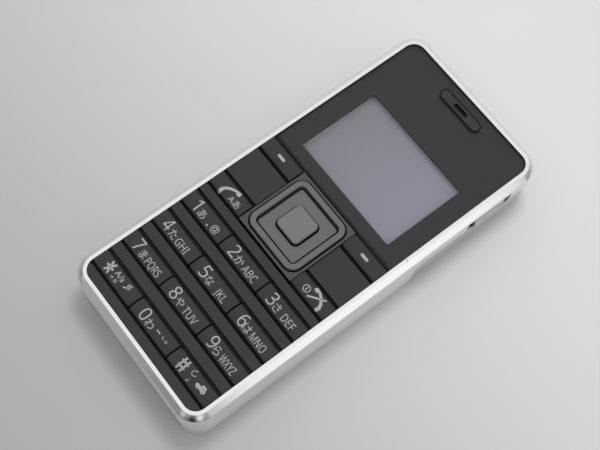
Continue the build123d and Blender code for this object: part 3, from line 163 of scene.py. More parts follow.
def start_material(name, sockets):
    """A new material with constants on its shader's own sockets; also its tree, shader and coordinates."""
    material = bpy.data.materials.new(name)
    material.use_nodes = True
    tree = material.node_tree
    shader = tree.nodes["Principled BSDF"]
    for socket, value in sockets.items():
        shader.inputs[socket].default_value = value
    place = add_node(tree, "ShaderNodeTexCoord").outputs["Object"]
    return material, tree, shader, place


def wire(tree, shader, links):
    """Link outputs to a shader's sockets by their names."""
    for socket, output in links.items():
        tree.links.new(output, shader.inputs[socket])


def shade(colour, factor):
    """A colour made darker or lighter."""
    return (*[min(1.0, part * factor) for part in colour[:3]], 1.0)


def per_mm(millimetres):
    """Texture scale that repeats once in a real length."""
    return 1 / (millimetres * MM)


# Black that stands for the shade deep in gaps and inside shells: painted shade
GAP_SHADE_BLACK = "#0B0B0B"


def shade_below_foot(tree, place, shown, foot, fade):
    """A tone that turns black below a level: painted shade deep in a gap."""
    split = add_node(tree, "ShaderNodeSeparateXYZ", None, None, {"Vector": place})
    unshaded = add_node(
        tree, "ShaderNodeMapRange", None, {"From Min": foot - fade * MM, "From Max": foot},
        {"Value": split.outputs["Z"]},
    )
    kept = add_node(
        tree, "ShaderNodeMix", {"data_type": "RGBA"}, {MIX_A: linear(GAP_SHADE_BLACK)},
        {MIX_FACTOR: unshaded.outputs["Result"], MIX_B: shown},
    )
    return kept.outputs[MIX_RESULT]


def shade_inside_room(tree, place, shown, low, high):
    """A tone that turns black inside a box: painted shade on the inner faces of a shell, whose outer skin
    keeps its tone.
    """
    apart = add_node(
        tree, "ShaderNodeVectorMath", {"operation": "SUBTRACT"}, {1: (low + high) / 2}, {0: place}
    )
    reach = add_node(tree, "ShaderNodeVectorMath", {"operation": "ABSOLUTE"}, None, {0: apart.outputs[0]})
    share = add_node(
        tree, "ShaderNodeVectorMath", {"operation": "DIVIDE"}, {1: (high - low) / 2}, {0: reach.outputs[0]}
    )
    split = add_node(tree, "ShaderNodeSeparateXYZ", None, None, {"Vector": share.outputs[0]})
    wide = add_node(
        tree, "ShaderNodeMath", {"operation": "MAXIMUM"}, None,
        {0: split.outputs["X"], 1: split.outputs["Y"]},
    )
    far = add_node(
        tree, "ShaderNodeMath", {"operation": "MAXIMUM"}, None, {0: wide.outputs[0], 1: split.outputs["Z"]}
    )
    skin = add_node(tree, "ShaderNodeMath", {"operation": "GREATER_THAN"}, {1: 1.0}, {0: far.outputs[0]})
    kept = add_node(
        tree, "ShaderNodeMix", {"data_type": "RGBA"}, {MIX_A: linear(GAP_SHADE_BLACK)},
        {MIX_FACTOR: skin.outputs[0], MIX_B: shown},
    )
    return kept.outputs[MIX_RESULT]


# Sizes of the finishes' patterns are in millimetres. Spark grain, blasting beads, paint flakes and threads
# are really finer than the render can show, so they are drawn coarser, as fine as they still show.
PLASTIC_CLOUD = 7
# Depth over which the painted shade below a moulding's foot fades in
PLASTIC_SHADE_FADE = 0.1
PAINT_CLOUD = 5
# Depth over which the painted shade below a lacquer's foot fades in
PAINT_SHADE_FADE = 0.15
FLAKE_DEPTH = 0.004


def moulded_plastic(name, colour, roughness, grain, depth, foot=None):
    """Injection-moulded plastic: a spark-eroded grain that softens the gloss, in a slightly uneven tone;
    below the foot, where one is given, painted black as shade.
    """
    material, tree, shader, place = start_material(name, {"IOR": 1.5})
    cloud = add_node(
        tree, "ShaderNodeTexNoise", None, {"Scale": per_mm(PLASTIC_CLOUD), "Detail": 3.0}, {"Vector": place}
    )
    tone = add_node(
        tree, "ShaderNodeMix", {"data_type": "RGBA"},
        {MIX_A: shade(colour, 0.9), MIX_B: shade(colour, 1.1)}, {MIX_FACTOR: cloud.outputs["Fac"]},
    )
    gloss = add_node(
        tree, "ShaderNodeMapRange", None, {"To Min": roughness - 0.05, "To Max": roughness + 0.05},
        {"Value": cloud.outputs["Fac"]},
    )
    sparks = add_node(
        tree, "ShaderNodeTexNoise", None, {"Scale": per_mm(grain), "Detail": 2.0}, {"Vector": place}
    )
    bump = add_node(
        tree, "ShaderNodeBump", None, {"Strength": 0.35, "Distance": depth * MM},
        {"Height": sparks.outputs["Fac"]},
    )
    shown = tone.outputs[MIX_RESULT]
    if foot is not None:
        shown = shade_below_foot(tree, place, shown, foot, PLASTIC_SHADE_FADE)
    wire(tree, shader, {
        "Base Color": shown, "Roughness": gloss.outputs["Result"], "Normal": bump.outputs["Normal"],
    })
    return material


def metallic_paint(name, colour, roughness, metallic, flake, foot=None, fade=PAINT_SHADE_FADE, room=None):
    """Sprayed metallic lacquer over plastic: flakes that glint a little, under a soft clear coat.

    Below the foot level and inside a shell's room, where these are given, it is painted black as shade.
    """
    material, tree, shader, place = start_material(name, {"Metallic": metallic, "IOR": 1.5})
    flakes = add_node(tree, "ShaderNodeTexVoronoi", None, {"Scale": per_mm(flake)}, {"Vector": place})
    tone = add_node(
        tree, "ShaderNodeMix", {"data_type": "RGBA"},
        {MIX_A: shade(colour, 0.93), MIX_B: shade(colour, 1.08)}, {MIX_FACTOR: flakes.outputs["Color"]},
    )
    cloud = add_node(
        tree, "ShaderNodeTexNoise", None, {"Scale": per_mm(PAINT_CLOUD), "Detail": 3.0}, {"Vector": place}
    )
    gloss = add_node(
        tree, "ShaderNodeMapRange", None, {"To Min": roughness - 0.06, "To Max": roughness + 0.06},
        {"Value": cloud.outputs["Fac"]},
    )
    bump = add_node(
        tree, "ShaderNodeBump", None, {"Strength": 0.2, "Distance": FLAKE_DEPTH * MM},
        {"Height": flakes.outputs["Distance"]},
    )
    shown = tone.outputs[MIX_RESULT]
    if foot is not None:
        shown = shade_below_foot(tree, place, shown, foot, fade)
    if room is not None:
        shown = shade_inside_room(tree, place, shown, *room)
    wire(tree, shader, {
        "Base Color": shown, "Roughness": gloss.outputs["Result"], "Normal": bump.outputs["Normal"],
    })
    return material


# Frame's finish: between these levels below the top, the blasted wall gives way to the cut chamfer
WALL_END = 1.3
CHAMFER_START = 1.05
BEAD_SIZE = 0.22
BEAD_DEPTH = 0.006
FRAME_CLOUD = 9
NICK_SPACING = 1.1

# Length of the housing's rounded corners, and how far in from its box the frame keeps its own tone, before
# the painted shade inside it
CORNER_ROUND = 4.9
FRAME_SHADE_INSET_LOW = Vector((0.2, CORNER_ROUND, 1.2)) * MM
FRAME_SHADE_INSET_HIGH = Vector((0.2, CORNER_ROUND, 1.3)) * MM


def anodised_aluminium(colour):
    """Bead-blasted walls under a bright cut chamfer, with a few nicks where the edge has met keys and tables.

    The chamfer is polished, so it mirrors the room. Inside, the walls are painted black as shade.
    """
    material, tree, shader, place = start_material("anodised aluminium", {"Metallic": 1.0})
    low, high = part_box("side_frame")
    split = add_node(tree, "ShaderNodeSeparateXYZ", None, None, {"Vector": place})
    cut = add_node(
        tree, "ShaderNodeMapRange", None,
        {"From Min": high.z - WALL_END * MM, "From Max": high.z - CHAMFER_START * MM},
        {"Value": split.outputs["Z"]},
    ).outputs["Result"]
    beads = add_node(
        tree, "ShaderNodeTexNoise", None, {"Scale": per_mm(BEAD_SIZE), "Detail": 2.0}, {"Vector": place}
    )
    cloud = add_node(
        tree, "ShaderNodeTexNoise", None, {"Scale": per_mm(FRAME_CLOUD), "Detail": 2.0}, {"Vector": place}
    )
    gloss = add_node(tree, "ShaderNodeMapRange", None, {"To Min": 0.46, "To Max": 0.15}, {"Value": cut})
    uneven = add_node(
        tree, "ShaderNodeMath", {"operation": "MULTIPLY_ADD"}, {1: 0.06},
        {0: cloud.outputs["Fac"], 2: gloss.outputs[0]},
    )
    spots = add_node(
        tree, "ShaderNodeTexNoise", None, {"Scale": per_mm(NICK_SPACING), "Detail": 1.0}, {"Vector": place}
    )
    nicks = add_node(
        tree, "ShaderNodeMapRange", None, {"From Min": 0.74, "From Max": 0.8}, {"Value": spots.outputs["Fac"]}
    )
    worn = add_node(
        tree, "ShaderNodeMath", {"operation": "MULTIPLY"}, None, {0: nicks.outputs["Result"], 1: cut}
    )
    tone = add_node(
        tree, "ShaderNodeMix", {"data_type": "RGBA"}, {MIX_A: colour, MIX_B: shade(colour, 0.55)},
        {MIX_FACTOR: worn.outputs[0]},
    )
    blast = add_node(tree, "ShaderNodeMapRange", None, {"To Min": 0.25, "To Max": 0.0}, {"Value": cut})
    bump = add_node(
        tree, "ShaderNodeBump", None, {"Distance": BEAD_DEPTH * MM},
        {"Height": beads.outputs["Fac"], "Strength": blast.outputs["Result"]},
    )
    shown = shade_inside_room(
        tree, place, tone.outputs[MIX_RESULT], low + FRAME_SHADE_INSET_LOW, high - FRAME_SHADE_INSET_HIGH
    )
    wire(tree, shader, {
        "Base Color": shown, "Roughness": uneven.outputs[0], "Normal": bump.outputs["Normal"],
    })
    return material


ETCH_SIZE = 0.3


def window_acrylic():
    """Clear hard-coated acrylic, faintly etched on its face so that it takes no sharp reflection."""
    material, tree, shader, place = start_material(
        "hard-coated acrylic", {"Base Color": linear("#1C1C1E"), "IOR": 1.49, "Alpha": 0.14}
    )
    etch = add_node(
        tree, "ShaderNodeTexNoise", None, {"Scale": per_mm(ETCH_SIZE), "Detail": 2.0}, {"Vector": place}
    )
    gloss = add_node(
        tree, "ShaderNodeMapRange", None, {"To Min": 0.3, "To Max": 0.42}, {"Value": etch.outputs["Fac"]}
    )
    wire(tree, shader, {"Roughness": gloss.outputs["Result"]})
    return material


# Pitch of the display's pixels, and the painted light that makes it darker at the left and lighter and bluer
# at the right
PIXEL_PITCH = 0.18
PAINTED_LIGHT_LEFT = (0.89, 0.89, 0.83, 1.0)
PAINTED_LIGHT_RIGHT = (1.09, 1.1, 1.13, 1.0)


def display_polariser(colour):
    """Polariser of a resting colour display: lavender grey with very fine pixels, and painted light that
    makes it lighter and bluer to the right.
    """
    material, tree, shader, place = start_material("display polariser", {"IOR": 1.5, "Roughness": 0.35})
    pixels = add_node(
        tree, "ShaderNodeTexBrick", {"offset": 0.0},
        {
            "Color1": shade(colour, 1.01), "Color2": shade(colour, 0.99), "Mortar": shade(colour, 0.93),
            "Scale": per_mm(PIXEL_PITCH), "Mortar Size": 0.06, "Brick Width": 1.0, "Row Height": 1.0,
        },
        {"Vector": place},
    )
    low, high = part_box("lcd_panel")
    split = add_node(tree, "ShaderNodeSeparateXYZ", None, None, {"Vector": place})
    across = add_node(
        tree, "ShaderNodeMapRange", None, {"From Min": low.x, "From Max": high.x},
        {"Value": split.outputs["X"]},
    )
    painted_light = add_node(
        tree, "ShaderNodeMix", {"data_type": "RGBA"}, {MIX_A: PAINTED_LIGHT_LEFT, MIX_B: PAINTED_LIGHT_RIGHT},
        {MIX_FACTOR: across.outputs["Result"]},
    )
    tone = add_node(
        tree, "ShaderNodeMix", {"data_type": "RGBA", "blend_type": "MULTIPLY"}, {MIX_FACTOR: 1.0},
        {MIX_A: pixels.outputs["Color"], MIX_B: painted_light.outputs[MIX_RESULT]},
    )
    wire(tree, shader, {"Base Color": tone.outputs[MIX_RESULT]})
    return material


INK_CLOUD = 0.5


def printed_ink(colour):
    """Screen-printed ink: matt, a little thin in places."""
    material, tree, shader, place = start_material("screen-printed ink", {"Roughness": 0.6, "IOR": 1.45})
    thin = add_node(
        tree, "ShaderNodeTexNoise", None, {"Scale": per_mm(INK_CLOUD), "Detail": 2.0}, {"Vector": place}
    )
    tone = add_node(
        tree, "ShaderNodeMix", {"data_type": "RGBA"},
        {MIX_A: shade(colour, 0.8), MIX_B: shade(colour, 1.1)}, {MIX_FACTOR: thin.outputs["Fac"]},
    )
    wire(tree, shader, {"Base Color": tone.outputs[MIX_RESULT]})
    return material


THREAD_SPACING = 0.25


def woven_mesh():
    """Black woven cloth over the sound holes: dark threads, with a painted highlight where they cross."""
    material, tree, shader, place = start_material("woven polyester", {"Roughness": 0.8})
    warp, weft = [
        add_node(
            tree, "ShaderNodeTexWave", {"bands_direction": way},
            {"Scale": per_mm(THREAD_SPACING) * WAVE_TURN}, {"Vector": place},
        ).outputs["Fac"]
        for way in ("X", "Y")
    ]
    crossing = add_node(tree, "ShaderNodeMath", {"operation": "MULTIPLY"}, None, {0: warp, 1: weft})
    tone = add_node(
        tree, "ShaderNodeMix", {"data_type": "RGBA"}, {MIX_A: linear("#060606"), MIX_B: linear("#1B1B1C")},
        {MIX_FACTOR: crossing.outputs[0]},
    )
    wire(tree, shader, {"Base Color": tone.outputs[MIX_RESULT]})
    return material


ROLLING_WIDTH = 0.2
ROLLING_LENGTH = 4


def plated_metal(name, hex_colour, roughness):
    """Plated or rolled sheet metal: faint rolling lines along one way."""
    material, tree, shader, place = start_material(name, {"Metallic": 1.0})
    narrow, along = per_mm(ROLLING_WIDTH), per_mm(ROLLING_LENGTH)
    stretch = add_node(
        tree, "ShaderNodeMapping", None, {"Scale": (narrow, along, narrow)}, {"Vector": place}
    )
    lines = add_node(
        tree, "ShaderNodeTexNoise", None, {"Scale": 1.0, "Detail": 2.0}, {"Vector": stretch.outputs[0]}
    )
    colour = linear(hex_colour)
    tone = add_node(
        tree, "ShaderNodeMix", {"data_type": "RGBA"},
        {MIX_A: shade(colour, 0.9), MIX_B: shade(colour, 1.1)}, {MIX_FACTOR: lines.outputs["Fac"]},
    )
    gloss = add_node(
        tree, "ShaderNodeMapRange", None, {"To Min": roughness - 0.08, "To Max": roughness + 0.08},
        {"Value": lines.outputs["Fac"]},
    )
    wire(tree, shader, {"Base Color": tone.outputs[MIX_RESULT], "Roughness": gloss.outputs["Result"]})
    return material


TRACK_SPACING = 2.4


def solder_mask():
    """Green solder mask over copper: tracks show as paler lines under the lacquer."""
    material, tree, shader, place = start_material("solder mask on glass laminate", {"Roughness": 0.35})
    tracks = add_node(
        tree, "ShaderNodeTexBrick", None,
        {
            "Color1": linear("#1E5A34"), "Color2": linear("#236139"), "Mortar": linear("#2F7A48"),
            "Scale": per_mm(TRACK_SPACING), "Mortar Size": 0.05,
        },
        {"Vector": place},
    )
    wire(tree, shader, {"Base Color": tracks.outputs["Color"]})
    return material


FILM_CLOUD = 3


def coloured_film(name, hex_colour, alpha):
    """Thin plastic film: glossy, see-through, slightly uneven."""
    material, tree, shader, place = start_material(name, {"IOR": 1.6, "Alpha": alpha})
    cloud = add_node(
        tree, "ShaderNodeTexNoise", None, {"Scale": per_mm(FILM_CLOUD), "Detail": 2.0}, {"Vector": place}
    )
    colour = linear(hex_colour)
    tone = add_node(
        tree, "ShaderNodeMix", {"data_type": "RGBA"},
        {MIX_A: shade(colour, 0.9), MIX_B: shade(colour, 1.1)}, {MIX_FACTOR: cloud.outputs["Fac"]},
    )
    gloss = add_node(
        tree, "ShaderNodeMapRange", None, {"To Min": 0.15, "To Max": 0.3}, {"Value": cloud.outputs["Fac"]}
    )
    wire(tree, shader, {"Base Color": tone.outputs[MIX_RESULT], "Roughness": gloss.outputs["Result"]})
    return material


# Side key: width over which its face's tone gives way to painted shade in the slot, and its lacquer's flakes
# and metal share
SLOT_SHADE_EDGE = 0.15
KEY_FLAKE = 0.12
KEY_METAL = 0.6


def side_key_paint(colour):
    """Silver lacquer on the key's face; inside the slot it is painted black as shade."""
    material, tree, shader, place = start_material("silver lacquer on black ABS", {"IOR": 1.5})
    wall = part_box("upper_rear_cover")[1].x
    split = add_node(tree, "ShaderNodeSeparateXYZ", None, None, {"Vector": place})
    face = add_node(
        tree, "ShaderNodeMapRange", None, {"From Min": wall, "From Max": wall + SLOT_SHADE_EDGE * MM},
        {"Value": split.outputs["X"]},
    )
    tone = add_node(
        # Painted shade in the slot, behind the key's face
        tree, "ShaderNodeMix", {"data_type": "RGBA"}, {MIX_A: linear("#101010"), MIX_B: colour},
        {MIX_FACTOR: face.outputs["Result"]},
    )
    metal = add_node(
        tree, "ShaderNodeMath", {"operation": "MULTIPLY"}, {1: KEY_METAL}, {0: face.outputs["Result"]}
    )
    flakes = add_node(tree, "ShaderNodeTexVoronoi", None, {"Scale": per_mm(KEY_FLAKE)}, {"Vector": place})
    gloss = add_node(
        tree, "ShaderNodeMapRange", None, {"To Min": 0.3, "To Max": 0.42},
        {"Value": flakes.outputs["Distance"]},
    )
    wire(tree, shader, {
        "Base Color": tone.outputs[MIX_RESULT], "Metallic": metal.outputs[0],
        "Roughness": gloss.outputs["Result"],
    })
    return material


# Faces that meet at more than this are shaded as a hard edge
HARD_ABOVE = math.radians(38)


def finish_piece(bm, name, material, body, replaced=()):
    """Turn a bmesh into a shown piece that rides on a body."""
    mesh = bpy.data.meshes.new(name)
    bm.to_mesh(mesh)
    bm.free()
    mesh.polygons.foreach_set("use_smooth", [True] * len(mesh.polygons))
    mesh.set_sharp_from_angle(angle=HARD_ABOVE)
    mesh.materials.append(material)
    piece = bpy.data.objects.new(name, mesh)
    bpy.context.scene.collection.objects.link(piece)
    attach(piece, body)
    if replaced:
        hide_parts(*replaced)
    return piece


def body_of(node):
    """Body that a CAD node rides on."""
    return frame["nodes"][node]["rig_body"]


# A node's copy: corners nearer than this are one, flatter edges are dissolved and sharper ones rounded
MERGE_DISTANCE = 0.002 * MM
FLAT_BELOW = math.radians(0.4)
ROUND_ABOVE = math.radians(35)


def soften(node, edge, material, suffix, lift=0.0):
    """Stand-in for a node with the same shape, its sharp edges rounded as moulding or tumbling leaves them.

    A lift raises its underside, where a bond line parts it from the piece below.
    """
    bm = bmesh.new()
    bm.from_mesh(frame["nodes"][node].data)
    bmesh.ops.remove_doubles(bm, verts=bm.verts, dist=MERGE_DISTANCE)
    bmesh.ops.dissolve_limit(bm, angle_limit=FLAT_BELOW, verts=bm.verts, edges=bm.edges)
    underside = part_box(node)[0].z
    feet = [vert for vert in bm.verts if vert.co.z < underside + lift]
    bmesh.ops.translate(bm, verts=feet, vec=(0, 0, lift))
    sharp = [line for line in bm.edges if line.is_manifold and line.calc_face_angle() > ROUND_ABOVE]
    bmesh.ops.bevel(
        bm, geom=sharp, offset=edge, offset_type="OFFSET", affect="EDGES", segments=2, profile=0.5,
        material=-1, clamp_overlap=True,
    )
    piece = finish_piece(bm, node + suffix, material, body_of(node), [node])
    even = piece.modifiers.new("even shading", "WEIGHTED_NORMAL")
    even.keep_sharp = True
    return piece


# Share of a strip's corner that is rounded: all of it would leave a half-round end no edge
STRIP_ROUND = 0.999


def round_strip(low, high, corner, width, height):
    """Bmesh of a strip that runs round a rectangle with rounded corners, below the upper level."""
    bm = bmesh.new()
    bmesh.ops.create_grid(bm, x_segments=1, y_segments=1, size=0.5)
    bmesh.ops.scale(bm, verts=bm.verts, vec=(high.x - low.x, high.y - low.y, 1.0))
    bmesh.ops.bevel(
        bm, geom=bm.verts[:], offset=STRIP_ROUND * corner, offset_type="OFFSET", affect="VERTICES",
        segments=16, profile=0.5, material=-1,
    )
    field = bm.faces[:]
    bmesh.ops.inset_region(bm, faces=field, thickness=width, use_boundary=True, use_even_offset=True)
    bmesh.ops.delete(bm, geom=field, context="FACES_ONLY")
    lower = bmesh.ops.extrude_face_region(bm, geom=bm.faces[:], use_keep_orig=True)["geom"]
    feet = [item for item in lower if isinstance(item, bmesh.types.BMVert)]
    bmesh.ops.translate(bm, verts=feet, vec=(0, 0, -height))
    bmesh.ops.translate(bm, verts=bm.verts, vec=((low.x + high.x) / 2, (low.y + high.y) / 2, high.z))
    bmesh.ops.recalc_face_normals(bm, faces=bm.faces)
    return bm


def paint(material, *nodes):
    """Give CAD nodes that keep their own mesh a finish."""
    for node in nodes:
        slots = frame["nodes"][node].data.materials
        slots.clear()
        slots.append(material)


class PHONE_OT_frame(bpy.types.Operator):
    """Finish the aluminium side frame"""

    bl_idname = "phone.frame"
    bl_label = "Side Frame"

    def execute(self, context):
        soften("side_frame", sizes().metal_edge, anodised_aluminium(colours()["aluminium"]), "_shell")
        return {"FINISHED"}


# Depth below the front's faces, as a share of their edge rounding, past which their sides are painted black
# as shade
LIT_SHARE = 1.2

# Black strip round the earpiece, a little narrower than the gap that it fills: a dark piece that stands for
# the shade in the gap
SHADE_STRIP_WIDTH = 0.27 * MM
SHADE_STRIP_HEIGHT = 0.3 * MM


class PHONE_OT_front(bpy.types.Operator):
    """Finish the ribbed front panel and the earpiece"""

    bl_idname = "phone.front"
    bl_label = "Front Panel"

    def execute(self, context):
        edge = sizes().moulded_edge
        for node, name, suffix in (
            ("front_panel", "satin black polycarbonate", "_moulding"),
            ("earpiece_cover", "satin black polycarbonate insert", "_insert"),
        ):
            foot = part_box(node)[1].z - LIT_SHARE * edge
            satin = moulded_plastic(
                name, colours()["panel"], roughness=0.5, grain=0.28, depth=0.012, foot=foot
            )
            soften(node, edge, satin, suffix)
        paint(woven_mesh(), "earpiece_mesh")
        low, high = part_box("earpiece_cover")
        reach = Vector((SHADE_STRIP_WIDTH, SHADE_STRIP_WIDTH, 0))
        corner = (high.y - low.y) / 2 + SHADE_STRIP_WIDTH
        # The strip's black is painted shade in the earpiece's gap
        foam = moulded_plastic("black foam strip", linear("#0C0C0C"), roughness=0.9, grain=0.3, depth=0.04)
        gap_strip = round_strip(low - reach, high + reach, corner, SHADE_STRIP_WIDTH, SHADE_STRIP_HEIGHT)
        finish_piece(gap_strip, "earpiece_seal", foam, body_of("earpiece_cover"))
        return {"FINISHED"}


# White film round the display's picture, inside the foam
FILM_INSET = 1.03 * MM
FILM_CORNER = 0.5 * MM
FILM_WIDTH = 0.43 * MM
FILM_THICKNESS = 0.12 * MM


class PHONE_OT_display(bpy.types.Operator):
    """Finish the window, its print and the display under it"""

    bl_idname = "phone.display"
    bl_label = "Display"

    def execute(self, context):
        soften("display_window", sizes().moulded_edge, window_acrylic(), "_pane", sizes().bond_line)
        paint(display_polariser(colours()["display"]), "lcd_panel")
        for name, hex_colour, roughness, grain, depth, node in (
            ("black print under acrylic", "#383839", 0.5, 0.28, 0.012, "window_mask"),
            ("black foam", "#161616", 0.9, 0.3, 0.08, "lcd_gasket"),
            ("white reflector polycarbonate", "#E8E8E2", 0.5, 0.4, 0.01, "lcd_backlight"),
            ("black nylon", "#1A1A1B", 0.5, 0.2, 0.01, "display_connector"),
        ):
            paint(moulded_plastic(name, linear(hex_colour), roughness, grain, depth), node)
        paint(plated_metal("tin-plated steel", "#B9BABB", roughness=0.35), "lcd_tray")
        paint(coloured_film("polyimide film", "#B0671C", alpha=0.92), "display_flex")
        low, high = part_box("lcd_gasket")
        inset = Vector((FILM_INSET, FILM_INSET, 0))
        top = Vector((high.x, high.y, low.z + FILM_THICKNESS))
        film = round_strip(low + inset, top - inset, FILM_CORNER, FILM_WIDTH, FILM_THICKNESS)
        white = moulded_plastic(
            "white reflector film", linear("#E2E2DE"), roughness=0.5, grain=0.4, depth=0.005
        )
        finish_piece(film, "display_film", white, body_of("lcd_panel"))
        return {"FINISHED"}


class PHONE_OT_keys(bpy.types.Operator):
    """Finish the sixteen key caps"""

    bl_idname = "phone.keys"
    bl_label = "Key Caps"

    def execute(self, context):
        cap = moulded_plastic(
            "black hard-coated polycarbonate", colours()["keys"], roughness=0.42, grain=0.22, depth=0.008
        )
        for node in NUMBER_KEYS + SIDE_KEYS:
            soften(node, sizes().moulded_edge, cap, "_cap")
        return {"FINISHED"}


# Depth of the ring's sunken floor below its crest
DISH_DEPTH = 0.95 * MM

# Pad's lacquer, in millimetres: how far down the ring's groove its tone fades into painted shade, and its
# flakes; and its metal share
GROOVE_SHADE_FADE = 0.2
PAD_FLAKE = 0.15
PAD_METAL = 0.2

# Ledge that narrows the ring's groove: its distance from the ring's outside, and its section
LEDGE_INSET = 1.8 * MM
LEDGE_CORNER = 0.65 * MM
LEDGE_WIDTH = 0.3 * MM
LEDGE_HEIGHT = 0.3 * MM
LEDGE_RISE = 0.01 * MM


class PHONE_OT_pad(bpy.types.Operator):
    """Finish the four-way pad"""

    bl_idname = "phone.pad"
    bl_label = "Navigation Pad"

    def execute(self, context):
        edge = sizes().moulded_edge
        tones = colours()
        low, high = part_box("nav_ring")
        plate_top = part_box("nav_surround")[1].z
        dish = high.z - DISH_DEPTH
        # Below their feet, the plate's inner wall, the ring's groove and the centre key's flanks are painted
        # black as shade
        plate = metallic_paint(
            "dark grey metallic lacquer", tones["pad_plate"], 0.45, PAD_METAL, PAD_FLAKE,
            foot=plate_top - edge,
        )
        ring = metallic_paint(
            "grey metallic lacquer", tones["pad_ring"], 0.45, PAD_METAL, PAD_FLAKE,
            foot=dish - GROOVE_SHADE_FADE * MM, fade=GROOVE_SHADE_FADE,
        )
        centre = metallic_paint(
            "pale grey metallic lacquer", tones["pad_centre"], 0.42, PAD_METAL, PAD_FLAKE, foot=plate_top
        )
        soften("nav_surround", edge, plate, "_bezel")
        soften("nav_ring", edge, ring, "_cap")
        soften("nav_centre_key", edge, centre, "_cap")
        inset = Vector((LEDGE_INSET, LEDGE_INSET, 0))
        floor = Vector((high.x, high.y, dish + LEDGE_RISE))
        ledge = round_strip(low + inset, floor - inset, LEDGE_CORNER, LEDGE_WIDTH, LEDGE_HEIGHT)
        finish_piece(ledge, "nav_ring_ledge", ring, body_of("nav_ring"))
        silicone = moulded_plastic("grey silicone", linear("#6E6E6E"), roughness=0.7, grain=0.4, depth=0.01)
        paint(silicone, "nav_rocker_pads", "keypad_mat")
        return {"FINISHED"}


# Rear covers' lacquer: roughness, metal share, and flakes in millimetres
COVER_LACQUER = (0.42, 0.35, 0.12)

# How far in from its box the upper rear cover keeps its own tone, before the painted shade inside it
COVER_SHADE_INSET = Vector((0.15, CORNER_ROUND, 1.6)) * MM


class PHONE_OT_back(bpy.types.Operator):
    """Finish the rear covers, the side key and the charging port"""

    bl_idname = "phone.back"
    bl_label = "Back and Sides"

    def execute(self, context):
        edge = sizes().moulded_edge
        silver = colours()["cover"]
        low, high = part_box("upper_rear_cover")
        # The cover is open at its front, so its room reaches past it there
        room = (low + COVER_SHADE_INSET, Vector((high.x, high.y, 2 * high.z)) - COVER_SHADE_INSET)
        # Inside its room, the shell is painted black as shade
        shell = metallic_paint("silver lacquer on ABS shell", silver, *COVER_LACQUER, room=room)
        soften("upper_rear_cover", edge, shell, "_moulding")
        slide = metallic_paint("silver lacquer on ABS", silver, *COVER_LACQUER)
        soften("battery_cover", edge, slide, "_moulding")
        soften("side_key", edge, side_key_paint(silver), "_cap")
        rubber = moulded_plastic(
            "silver-grey elastomer", linear("#A6A7A9"), roughness=0.62, grain=0.3, depth=0.015
        )
        soften("port_cover", edge, rubber, "_flap")
        paint(plated_metal("nickel-plated shell", "#C9C8C4", roughness=0.3), "charge_connector")
        return {"FINISHED"}


# Finishes of the pieces inside: name, colour, roughness, grain and its depth in millimetres, and the nodes
INNER_PLASTICS = [
    ("glass-filled nylon", "#242426", 0.55, 0.35, 0.02, ["inner_chassis", "ringer_speaker", "side_switch"]),
    ("battery wrap", "#303236", 0.4, 0.5, 0.004, ["battery"]),
    ("card PVC", "#E4E4DF", 0.35, 0.5, 0.002, ["sim_card"]),
    ("black rubber boot", "#1B1B1B", 0.8, 0.3, 0.02, ["microphone_boot"]),
]

# And of the metal ones: name, colour, roughness and the nodes
INNER_METALS = [
    (
        "nickel silver sheet", "#BDBCB8", 0.32,
        ["board_shields", "receiver", "vibration_motor", "housing_screws"],
    ),
    ("stainless spring steel", "#C6C6C4", 0.28, ["metal_domes"]),
    ("tungsten alloy", "#8B8A88", 0.4, ["vibration_weight"]),
    ("gold plating on copper alloy", "#D9B45A", 0.3, ["battery_contacts", "antenna"]),
    ("drawn aluminium can", "#CBCCCE", 0.35, ["microphone"]),
]


class PHONE_OT_inside(bpy.types.Operator):
    """Finish the pieces inside the housing"""

    bl_idname = "phone.inside"
    bl_label = "Inside"

    def execute(self, context):
        for name, hex_colour, roughness, grain, depth, nodes in INNER_PLASTICS:
            paint(moulded_plastic(name, linear(hex_colour), roughness, grain, depth), *nodes)
        for name, hex_colour, roughness, nodes in INNER_METALS:
            paint(plated_metal(name, hex_colour, roughness), *nodes)
        paint(coloured_film("polyester dome film", "#C9D0CB", alpha=0.6), "dome_film")
        paint(solder_mask(), "main_board")
        return {"FINISHED"}


# First of the plain sans-serif digits and capitals in the character set
SANS_DIGIT = 0x1D7E2
SANS_CAPITAL = 0x1D5A0

# Each number key's digit, syllable and its middle, and letter group and its right end, in millimetres
LEGENDS = {
    "key_1": ("1", "あ", -0.9, "", 0.0),
    "key_2": ("2", "か", -0.95, "ABC", 4.6),
    "key_3": ("3", "さ", -1.15, "DEF", 4.4),
    "key_4": ("4", "た", -0.85, "GHI", 4.1),
    "key_5": ("5", "な", -1.1, "JKL", 4.3),
    "key_6": ("6", "は", -1.35, "MNO", 4.5),
    "key_7": ("7", "ま", -0.9, "PQRS", 4.75),
    "key_8": ("8", "や", -1.0, "TUV", 4.45),
    "key_9": ("9", "ら", -1.3, "WXYZ", 4.4),
    "key_0": ("0", "わ", -0.95, "", 0.0),
}
DIGIT_X = -3.2 * MM
DIGIT_WIDTH = 1.8 * MM
NARROW_DIGIT = "1"
NARROW_SHARE = 0.62
LETTER_CONDENSE = 0.84
WIDE_GROUPS = ("MNO", "PQRS", "WXYZ")
LETTERS_WIDEST = 4.3 * MM

